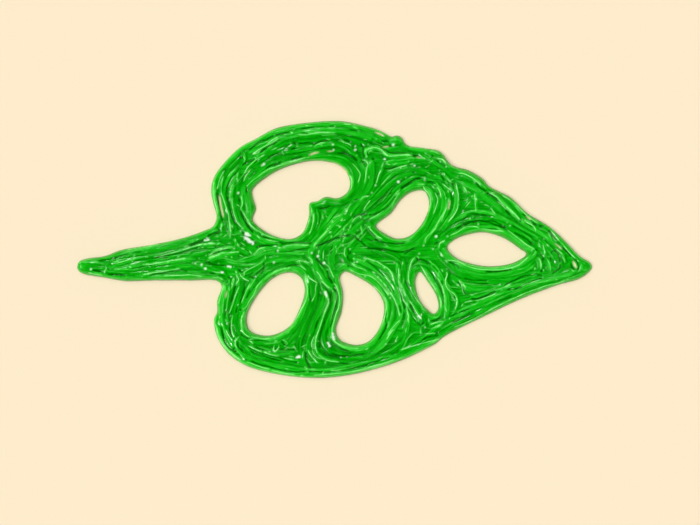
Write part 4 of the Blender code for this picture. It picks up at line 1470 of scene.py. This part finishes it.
def note(kind, curve, power):
    """Keep how far each point near a mark's line is from it, so that the material draws the line crisply, as
    a fine bump and as a painted highlight on a crest or painted shade in a crease.
    """
    line = near(curve, MARK_REACH)
    close = (line.far < np.abs(mark_side[kind][line.window])) & (line.far < MARK_REACH)
    fade = np.clip(1 - line.far / MARK_REACH, 0, 1)
    worn = np.clip(WEAR + waver(line.run, line.length * WEAR_STEP, *WEAR_WAVER), 0, MOST_WEAR)
    put(mark_side[kind], line.window, close, shade_turn(curve) * line.side * line.far)
    put(mark_power[kind], line.window, close, power * faded(line) * fade * worn)


def streamline(start, length):
    """A curve of about a length along the flow, through a start point, within the leaf."""
    halves = []
    for direction in (1.0, -1.0):
        spot = np.array(start, float)
        step = None
        half = []
        while len(half) * CURVE_STEP < length / 2:
            column, row = np.round(grid_place(spot)).astype(int)
            if edge_distance[row, column] < FLOW_CLEAR:
                break
            half.append(spot.copy())
            flow = np.array([flow_x[row, column], flow_y[row, column]])
            if step is None:
                step = flow * direction
            elif flow @ step < 0:
                step = -flow
            else:
                step = flow
            spot = spot + step * CURVE_STEP
        halves.append(half)
    return np.array(halves[1][:0:-1] + halves[0])


def add_lips():
    """Low ridges along the flow, painted paler as highlights, each with a shallow hollow on the side of the
    light, painted darker as shade.
    """
    for lip in range(LIPS):
        while True:
            row = rng.integers(0, SHAPE[0])
            column = rng.integers(0, SHAPE[1])
            if edge_distance[row, column] > EDGE_CLEAR:
                break
        curve = streamline((grid_x[column], grid_y[row]), rng.uniform(*LIP_LENGTHS))
        breadth = rng.uniform(*LIP_BREADTHS)
        rise = rng.uniform(*LIP_RISES)
        if len(curve) >= LIP_POINTS:
            press(curve, breadth, rise, LIP_PAINTED_LIGHT)
            note("crest", beside(curve, -CREST_BESIDE * breadth), LIP_POWER * rise)
            press(beside(curve, -LIP_HOLLOW[0] * breadth), breadth, -LIP_HOLLOW[1] * rise, -LIP_PAINTED_LIGHT)


def add_flecks():
    """Short crests, painted paler as highlights, with a crease of painted shade beside them, scattered in
    clusters and mostly along the flow.
    """
    for (spread, count), points in strokes(FLECK_CLUSTERS):
        middle = place(points)[0]
        for fleck in range(int(count)):
            spot = middle + rng.normal(0, spread * POINT, 2)
            column, row = np.clip(grid_place(spot), 0, (SHAPE[1] - 1, SHAPE[0] - 1)).astype(int)
            turn = flow_angle[row, column] + rng.normal(0, FLECK_TURN)
            half = rng.uniform(*FLECK_HALVES) * np.array([math.cos(turn), math.sin(turn)])
            power = rng.uniform(*FLECK_POWERS)
            if edge_distance[row, column] > EDGE_CLEAR:
                curve = np.array([spot - half, spot, spot + half])
                breadth, rise, shade = FLECK
                press(beside(curve, FLECK_BESIDE), breadth, rise * power, shade)
                note("crest", curve, power)
                note("crease", beside(curve, FLECK_SHADOW), power)


def add_marks(block, breadth, rise, shade):
    """The crests or creases of a block of rows, each with a weight of its own where its row gives one; crests
    are painted paler as highlights and creases darker as painted shade.
    """
    for given, points in strokes(block):
        curve = smooth_curve(points)
        weight = given[0] if given else 1.0
        ridge = beside(curve, CREST_BESIDE * breadth) if rise > 0 else curve
        press(ridge, breadth, rise * weight, shade * weight, smooth_height)
        note("crest" if rise > 0 else "crease", curve, min(1, abs(shade)) * weight)


def add_patches():
    """Flat facets that mirror the light on the left, with ragged edges; the material also paints them white,
    a painted glint.
    """
    for (breadth,), points in strokes(PATCHES):
        reach = breadth * POINT / 2
        curve = smooth_curve(points)
        line = near(curve, 2 * reach)
        rows, columns = line.window
        share = np.exp(-(line.far / reach * (1 + ragged[line.window])) ** FLAT_POWER)
        middle = curve.mean(axis=0)
        away = ((grid_x[columns][None, :] - middle[0]) * FROM_GLINT[0]
                + (grid_y[rows][:, None] - middle[1]) * FROM_GLINT[1])
        facet = np.average(smooth_height[line.window], weights=share) + PATCH_SLOPE * away
        height[line.window] += share * (facet - height[line.window])
        calm_and_glint[line.window] = np.maximum(calm_and_glint[line.window], share)


def add_specks():
    """Droplets, each with a gleam beside its top, a polish painted white as a glint, and a heart painted
    paler as a highlight; the broad ones with a dark crease of painted shade round them.
    """
    turns = np.radians(np.arange(*RING_TURNS))
    ring = np.column_stack([np.cos(turns), np.sin(turns)])
    for (breadth,), points in strokes(SPECKS):
        reach = breadth * POINT / 2
        gleam = min(1, SPECK_CALM * (breadth - SPECK_LEAST))
        for spot in place(points):
            window, xs, ys = window_of(spot - SPECK_REACH * reach, spot + SPECK_REACH * reach)
            body = np.hypot(xs - spot[0] - SPECK_BODY * reach, ys - spot[1]) / reach
            heart = np.hypot(xs - spot[0], ys - spot[1]) / reach
            height[window] += SPECK_HEIGHT * reach * np.exp(-body ** 2)
            # The heart is painted paler: a painted highlight
            tone_and_painted_light[window] += SPECK_HIGHLIGHT * np.exp(-heart ** 2)
            calm_and_glint[window] = np.maximum(calm_and_glint[window], gleam * np.exp(-(SPECK_HEART * heart) ** FLAT_POWER))
            if breadth > RINGED_SPECK:
                note("crease", spot + RING_REACH * reach * ring, RING_POWER)


def film_shares():
    """Where thin films close the gaps between lines, from nothing to one."""
    film = np.zeros(SHAPE)
    for (width,), points in strokes(FILMS):
        line = near(smooth_curve(points), FILM_REACH)
        end = np.clip(line.to_end / FILM_END, 0, 1)
        half = width * POINT * (FILM_END_WIDTH + (1 - FILM_END_WIDTH) * end)
        share = np.clip((half - line.far) / FILM_EDGE + 0.5, 0, 1)
        film[line.window] = np.maximum(film[line.window], share)
    return film


# Where the plastic is calm, with no fine bumps and most polished, the material also paints it white as a
# glint
calm_and_glint = np.zeros(SHAPE)
add_lips()
add_flecks()
smooth_height = bed(MARK_BASE)
for block, kind in ((SHARP_CRESTS, SHARP_CREST), (SOFT_CRESTS, SOFT_CREST),
                    (DEEP_CREASES, DEEP_CREASE), (FAINT_CREASES, FAINT_CREASE)):
    add_marks(block, *kind)
add_patches()
add_specks()
film = film_shares()
height = height * (1 - film) + FILM_HEIGHT * film

uneven = STREAK_HEIGHT * streaks + BROAD_STREAK_HEIGHT * broad_streaks + LUMP_HEIGHT * lumps
relief = np.minimum(height + (1 - calm_and_glint) * uneven, TALLEST)
hollows = blurred(relief, HOLLOW_BLUR) - relief
relief -= BROW_DROP * np.clip(relief - BROW_BASE, 0, 1) * np.clip(1 - edge_distance / BROW_REACH, 0, 1)
rounding = np.clip(edge_distance / EDGE_ROUND, 0, 1)
relief = EDGE_HEIGHT + (relief - EDGE_HEIGHT) * (1 - (1 - rounding) ** 2)


def blend_at(field, points):
    """A grid field's values at millimetre points."""
    column, row = grid_place(points).T
    left = np.clip(column.astype(int), 0, SHAPE[1] - 2)
    low = np.clip(row.astype(int), 0, SHAPE[0] - 2)
    along = column - left
    up = row - low
    return ((field[low, left] * (1 - along) + field[low, left + 1] * along) * (1 - up)
            + (field[low + 1, left] * (1 - along) + field[low + 1, left + 1] * along) * up)


def top_surface():
    """The top's vertices and faces, cut off along the leaf's edge, and the edge's links."""
    node_index = np.full(SHAPE, -1)
    rows, columns = np.nonzero(inside)
    node_index[rows, columns] = np.arange(len(rows))
    vertices = np.column_stack([grid_x[columns], grid_y[rows], relief[rows, columns]])
    edge_vertices = []
    known = {}
    faces = []
    links = {}

    def crossing(a, b):
        """The vertex where the leaf's edge crosses the grid line between two nodes."""
        key = (a, b) if inside[a] else (b, a)
        if key not in known:
            held, free = key
            share = edge_distance[held] / (edge_distance[held] - edge_distance[free])
            share = min(max(share, LEAST_CUT), 1 - LEAST_CUT)
            x = grid_x[held[1]] + share * (grid_x[free[1]] - grid_x[held[1]])
            y = grid_y[held[0]] + share * (grid_y[free[0]] - grid_y[held[0]])
            known[key] = len(vertices) + len(edge_vertices)
            edge_vertices.append((x, y, EDGE_HEIGHT))
        return known[key]

    held = inside[:-1, :-1].astype(int) + inside[:-1, 1:] + inside[1:, 1:] + inside[1:, :-1]
    for row, column in zip(*np.nonzero(held == 4)):
        faces.append((node_index[row, column], node_index[row, column + 1],
                      node_index[row + 1, column + 1], node_index[row + 1, column]))
    for row, column in zip(*np.nonzero((held > 0) & (held < 4))):
        corners = [(row, column), (row, column + 1), (row + 1, column + 1), (row + 1, column)]
        face = []
        leaving = []
        for corner, following in zip(corners, corners[1:] + corners[:1]):
            if inside[corner]:
                face.append(node_index[corner])
            if inside[corner] != inside[following]:
                cut = crossing(corner, following)
                face.append(cut)
                leaving.append((cut, inside[corner]))
        faces.append(face)
        for (cut, leaves), (next_cut, _) in zip(leaving, leaving[1:] + leaving[:1]):
            if leaves:
                links[cut] = next_cut
    return np.vstack([vertices, np.array(edge_vertices)]), faces, links


def chained(links):
    """The edge's loops of vertex numbers."""
    loops = []
    left = dict(links)
    while left:
        start, following = left.popitem()
        loop = [start]
        while following != start:
            loop.append(following)
            following = left.pop(following)
        loops.append(loop)
    return loops


def side_walls(vertices, loops):
    """The vertices with rings of wall below the edge's loops, the walls' faces, and the foot's loops."""
    slope_y, slope_x = np.gradient(blurred(edge_distance, SLOPE_BLUR), GRID)
    blocks = [vertices]
    count = len(vertices)
    faces = []
    foot_loops = []
    for loop in loops:
        rim = vertices[loop, :2]
        inward = np.column_stack([blend_at(slope_x, rim), blend_at(slope_y, rim)])
        inward /= np.linalg.norm(inward, axis=1)[:, None]
        above = np.array(loop)
        for inset, level in WALL:
            blocks.append(np.column_stack([rim + inward * inset, np.full(len(loop), level)]))
            below = count + np.arange(len(loop))
            count += len(loop)
            faces.extend(zip(np.roll(above, -1), above, below, np.roll(below, -1)))
            above = below
        foot_loops.append(above)
    return np.vstack(blocks), faces, foot_loops


def held_by(curves, points):
    """Which points closed curves hold, holes left out, by counting crossings to the right of each."""
    count = np.zeros(len(points), int)
    for curve in curves:
        for (x0, y0), (x1, y1) in zip(curve, np.roll(curve, -1, axis=0)):
            if y0 == y1:
                continue
            level = (points[:, 1] >= min(y0, y1)) & (points[:, 1] < max(y0, y1))
            count += level & (x0 + (points[:, 1] - y0) * (x1 - x0) / (y1 - y0) > points[:, 0])
    return count % 2 == 1


def underside_points():
    """Points in staggered rows over the underside, clear of its edge."""
    points = []
    for order, y in enumerate(np.arange(grid_y[0], grid_y[-1], UNDERSIDE_GRID * UNDERSIDE_ROW)):
        shift = 0.5 * UNDERSIDE_GRID * (order % 2)
        xs = np.arange(grid_x[0], grid_x[-1] - UNDERSIDE_GRID, UNDERSIDE_GRID)
        points += [(x + shift, y) for x in xs]
    points = np.array(points)
    return points[blend_at(edge_distance, points) > UNDERSIDE_INSET]


def underside(vertices, foot_loops):
    """The underside's own vertices, flat but for shallow grooves, and its faces out to the foot's loops."""
    foot_edges = []
    first = 0
    for loop in foot_loops:
        numbers = first + np.arange(len(loop))
        foot_edges.extend(zip(numbers.tolist(), np.roll(numbers, -1).tolist()))
        first += len(loop)
    foot = np.concatenate(foot_loops)
    points = underside_points()
    flat_points = np.vstack([vertices[foot, :2], points])
    made_points, _, made_faces, *_ = delaunay_2d_cdt(
        [Vector(point) for point in flat_points], foot_edges, [], 0, UNDERSIDE_SLACK)
    assert len(made_points) == len(flat_points)
    triangles = np.array(made_faces)
    kept = held_by([vertices[loop, :2] for loop in foot_loops], flat_points[triangles].mean(axis=1))
    hollow = blend_at(blurred(hollows, UNDERSIDE_BLUR), points) / UNDERSIDE_DEPTH
    groove = UNDERSIDE_HOLLOW * np.clip(hollow, 0, 1)
    groove *= np.clip((blend_at(edge_distance, points) - UNDERSIDE_INSET) / UNDERSIDE_RUN, 0, 1)
    numbers = np.concatenate([foot, len(vertices) + np.arange(len(points))])
    faces = []
    for triangle in triangles[kept]:
        a, b, c = flat_points[triangle]
        turned = (b[0] - a[0]) * (c[1] - a[1]) - (b[1] - a[1]) * (c[0] - a[0]) > 0
        faces.append(numbers[triangle[::-1] if turned else triangle])
    return np.column_stack([points, groove]), faces


top_vertices, top_faces, edge_links = top_surface()
wall_vertices, wall_faces, foot_loops = side_walls(top_vertices, chained(edge_links))
under_vertices, under_faces = underside(wall_vertices, foot_loops)
all_vertices = np.vstack([wall_vertices, under_vertices])
all_faces = [tuple(int(corner) for corner in face) for face in top_faces + wall_faces + under_faces]

mesh = bpy.data.meshes.new("drawn_leaf")
mesh.from_pydata((all_vertices * MM).tolist(), [], all_faces)
mesh.update()
mesh.shade_smooth()
assert not mesh.validate()


def keep(name, field, spread=1.0):
    """Store a grid field on the mesh's points for the material."""
    values = blend_at(field, all_vertices[:, :2]) / spread
    mesh.attributes.new(name, "FLOAT", "POINT").data.foreach_set("value", values.astype(np.float32))


# The mesh carries the hollows for painted shade in them, the line shades with the marks' painted highlights
# and shade, and the thin edge for a painted glow
keep("hollow", hollows, HOLLOW_SHADE_SPREAD)
keep("tone_and_painted_light", blurred(tone_and_painted_light, SHADE_BLUR))
keep("streak", streaks)
keep("thin", np.clip(1 - edge_distance / THIN_GLOW_REACH, 0, 1))
keep("film", film)
keep("rough", 1 - calm_and_glint)
keep("along", along_line)
keep("across", across_line)
keep("stroke", stroke)
keep("rim", rim_depth)
for kind in ("crest", "crease"):
    keep(kind + "_side", mark_side[kind])
    keep(kind + "_power", mark_power[kind])

leaf = bpy.data.objects.new("drawn_leaf", mesh)
bpy.context.scene.collection.objects.link(leaf)
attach(leaf, "root")
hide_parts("leaf")

material = bpy.data.materials.new("green_plastic_glossy")
material.use_nodes = True
nodes = material.node_tree.nodes
link = material.node_tree.links.new
nodes.clear()


def feed(socket, value):
    """Link another node's output to a socket, or set the socket to a number or a colour."""
    if isinstance(value, bpy.types.NodeSocket):
        link(value, socket)
    else:
        socket.default_value = value


def made(kind, output, **inputs):
    """The output of a new node of a kind, its inputs fed by name, with spaces for underscores."""
    node = nodes.new("ShaderNode" + kind)
    for name, value in inputs.items():
        feed(node.inputs[name.replace("_", " ")], value)
    return node.outputs[output]


def stored(name):
    """A value kept on the mesh's points."""
    value = made("Attribute", "Fac")
    value.node.attribute_name = name
    return value


def calculated(operation, *values, clamped=False):
    """The result of a calculation with values, kept from nothing to one where it is clamped."""
    node = nodes.new("ShaderNodeMath")
    node.operation = operation
    node.use_clamp = clamped
    for socket, value in zip(node.inputs, values):
        feed(socket, value)
    return node.outputs["Value"]


def weighed(fields, weights):
    """The sum of fields, each times its weight."""
    total = 0.0
    for name, weight in weights.items():
        total = calculated("MULTIPLY_ADD", fields[name], weight, total)
    return total


def bell(source, breadth):
    """One on a line, falling to nothing over a breadth in millimetres."""
    scaled = calculated("MULTIPLY", source, 1.0 / breadth)
    squared = calculated("MULTIPLY", scaled, scaled)
    return calculated("EXPONENT", calculated("MULTIPLY", squared, -1.0))


def dragged(along_pace, across_pace, detail, shift):
    """Noise about zero, drawn out along each line."""
    spot = made("CombineXYZ", "Vector",
                X=calculated("MULTIPLY", stored("along"), along_pace),
                Y=calculated("MULTIPLY", stored("across"), across_pace),
                Z=calculated("MULTIPLY_ADD", stored("stroke"), LINE_STEP, shift))
    return calculated("SUBTRACT", made("TexNoise", "Fac", Scale=1.0, Detail=detail, Vector=spot), 0.5)


def ramped(source, colours):
    """The colour of a value from minus one to one, between colours at shares of that range."""
    share = made("MapRange", "Result", Value=source, From_Min=-1.0, From_Max=1.0)
    colour = made("ValToRGB", "Color", Fac=share)
    elements = colour.node.color_ramp.elements
    for element, (position, shade) in zip((elements[0], elements[1]), (colours[0], colours[-1])):
        element.position = position
        element.color = shade
    for position, shade in colours[1:-1]:
        elements.new(position).color = shade
    return colour


def laid_over(colour, top, share):
    """A colour with another laid over it by a share."""
    node = nodes.new("ShaderNodeMix")
    node.data_type = "RGBA"
    feed(node.inputs["Factor"], share)
    feed(node.inputs["A"], colour)
    feed(node.inputs["B"], top)
    return node.outputs["Result"]


def plastic_fields():
    """What the colour and the bumps are mixed from: random shades, and marks that are fine bumps and painted
    light and shade.
    """
    fields = {name: stored(name) for name in ("tone_and_painted_light", "streak", "thin", "hollow")}
    crest_side = stored("crest_side")
    crest_power = stored("crest_power")
    shade_side = calculated("SUBTRACT", crest_side, CREST_SHADE_BESIDE)
    patchy = calculated("ADD", dragged(*PATCHY), PATCHY_BASE)
    coming = calculated("MULTIPLY", dragged(*COMING), COMING_GAIN)
    coming = calculated("ADD", coming, COMING_BASE, clamped=True)
    fields["drag"] = dragged(*DRAG)
    fields["fine_drag"] = dragged(*FINE_DRAG)
    # Crests and ridges paint the green paler as painted highlights; creases, rim lines along each line's
    # edge, grooves and the shaded side of crests paint it darker as painted shade. Each is also a fine bump
    fields["crest"] = calculated("MULTIPLY", crest_power, bell(crest_side, CREST_LINE))
    fields["crest_shade"] = calculated("MULTIPLY", crest_power, bell(shade_side, CREST_SHADE_LINE))
    fields["crease"] = calculated("MULTIPLY", stored("crease_power"),
                                  bell(stored("crease_side"), CREASE_LINE))
    fields["rim_line"] = calculated("MULTIPLY", bell(stored("rim"), RIM_LINE), patchy)
    fields["ridge"] = calculated("MULTIPLY", bell(dragged(*RIDGE), RIDGE_LINE), coming)
    fields["groove"] = calculated("MULTIPLY", bell(dragged(*GROOVE), GROOVE_LINE), coming)
    fields["fine"] = made("TexNoise", "Fac", Scale=1.0 / (FINE_SIZE * MM), Detail=FINE_DETAIL,
                          Vector=made("TexCoord", "Object"))
    return fields


def plastic_colour(fields):
    """The green by its shades and painted light and shade, then crests painted pale as highlights, white
    glints painted on droplets, flat patches and the strongest crests, and cream films over it.
    """
    colour = ramped(weighed(fields, TONES_AND_PAINTED_LIGHT), GREENS)
    # Crests take a pale green: a painted highlight
    colour = laid_over(colour, CREST_HIGHLIGHT_GREEN, calculated("MULTIPLY", fields["crest"], CREST_HIGHLIGHT_SHARE))
    # Calm droplets and patches, and the strongest crests, are painted white: painted glints
    painted_glint = calculated("MULTIPLY_ADD", stored("rough"), -PAINTED_GLINT_SHARE, PAINTED_GLINT_SHARE)
    hot = calculated("MULTIPLY_ADD", fields["crest"], *HOT_CREST_HIGHLIGHT, clamped=True)
    colour = laid_over(colour, PAINTED_GLINT_WHITE, calculated("ADD", painted_glint, hot))
    return laid_over(colour, FILM_CREAM, stored("film"))


def plastic_bumps(fields):
    """The normal with the bumps finer than the mesh, which are in millimetres."""
    worked = calculated("MULTIPLY", weighed(fields, WORKED_BUMPS), stored("rough"))
    raised = weighed({**fields, "worked": worked}, MARK_BUMPS)
    return made("Bump", "Normal", Strength=1.0, Distance=MM, Height=raised)


def plastic_roughness(fields):
    """Glossy and a little uneven, most polished on crests, droplets and flat patches."""
    rough = made("MapRange", "Result", Value=fields["fine"], From_Min=FINE_RANGE[0], From_Max=FINE_RANGE[1],
                 To_Min=ROUGHNESS[0], To_Max=ROUGHNESS[1])
    crest = calculated("MULTIPLY", calculated("MULTIPLY", stored("crest_power"), POLISH_GAIN),
                       bell(stored("crest_side"), POLISHED_LINE))
    smooth = calculated("SUBTRACT", 1.0, stored("rough"))
    polished = calculated("ADD", crest, smooth, clamped=True)
    return calculated("MULTIPLY_ADD", polished, -POLISH, rough)


fields = plastic_fields()
shader = nodes.new("ShaderNodeBsdfPrincipled")
for name, value in PLASTIC.items():
    shader.inputs[name].default_value = value
feed(shader.inputs["Base Color"], plastic_colour(fields))
feed(shader.inputs["Normal"], plastic_bumps(fields))
feed(shader.inputs["Roughness"], plastic_roughness(fields))
feed(nodes.new("ShaderNodeOutputMaterial").inputs["Surface"], shader.outputs["BSDF"])
mesh.materials.append(material)

bpy.ops.mesh.primitive_plane_add(size=FLOOR_SIZE, location=(0, 0, -FLOOR_GAP))
floor = bpy.context.object
floor.name = "floor"
paper = bpy.data.materials.new("cream_paper")
paper.use_nodes = True
for name, value in PAPER.items():
    paper.node_tree.nodes["Principled BSDF"].inputs[name].default_value = value
floor.data.materials.append(paper)

world = bpy.data.worlds.new("pale_room")
world.use_nodes = True
for name, value in ROOM.items():
    world.node_tree.nodes["Background"].inputs[name].default_value = value
bpy.context.scene.world = world
world.cycles_visibility.glossy = False

for name, (azimuth, elevation, breadth, strength, glint) in SUNS.items():
    light = bpy.data.lights.new(name, "SUN")
    light.energy = strength
    light.angle = math.radians(breadth)
    lamp = bpy.data.objects.new(name, light)
    lamp.rotation_euler = (0, math.radians(90 - elevation), math.radians(azimuth))
    lamp.visible_glossy = glint
    lamp.visible_diffuse = not glint
    bpy.context.scene.collection.objects.link(lamp)

camera_data = bpy.data.cameras.new("camera")
camera_data.sensor_width = SENSOR
camera_data.lens = LENS
camera_data.clip_start = CLIP_START
camera = bpy.data.objects.new("camera", camera_data)
camera.location = ((PICTURE_SIZE[0] / 2 - PICTURE_CENTRE[0]) * POINT * MM,
                   (PICTURE_CENTRE[1] - PICTURE_SIZE[1] / 2) * POINT * MM,
                   FRAME_WIDTH * LENS / SENSOR + TRUE_HEIGHT * MM)
bpy.context.scene.collection.objects.link(camera)
bpy.context.scene.camera = camera
bpy.context.scene.view_settings.view_transform = "Standard"
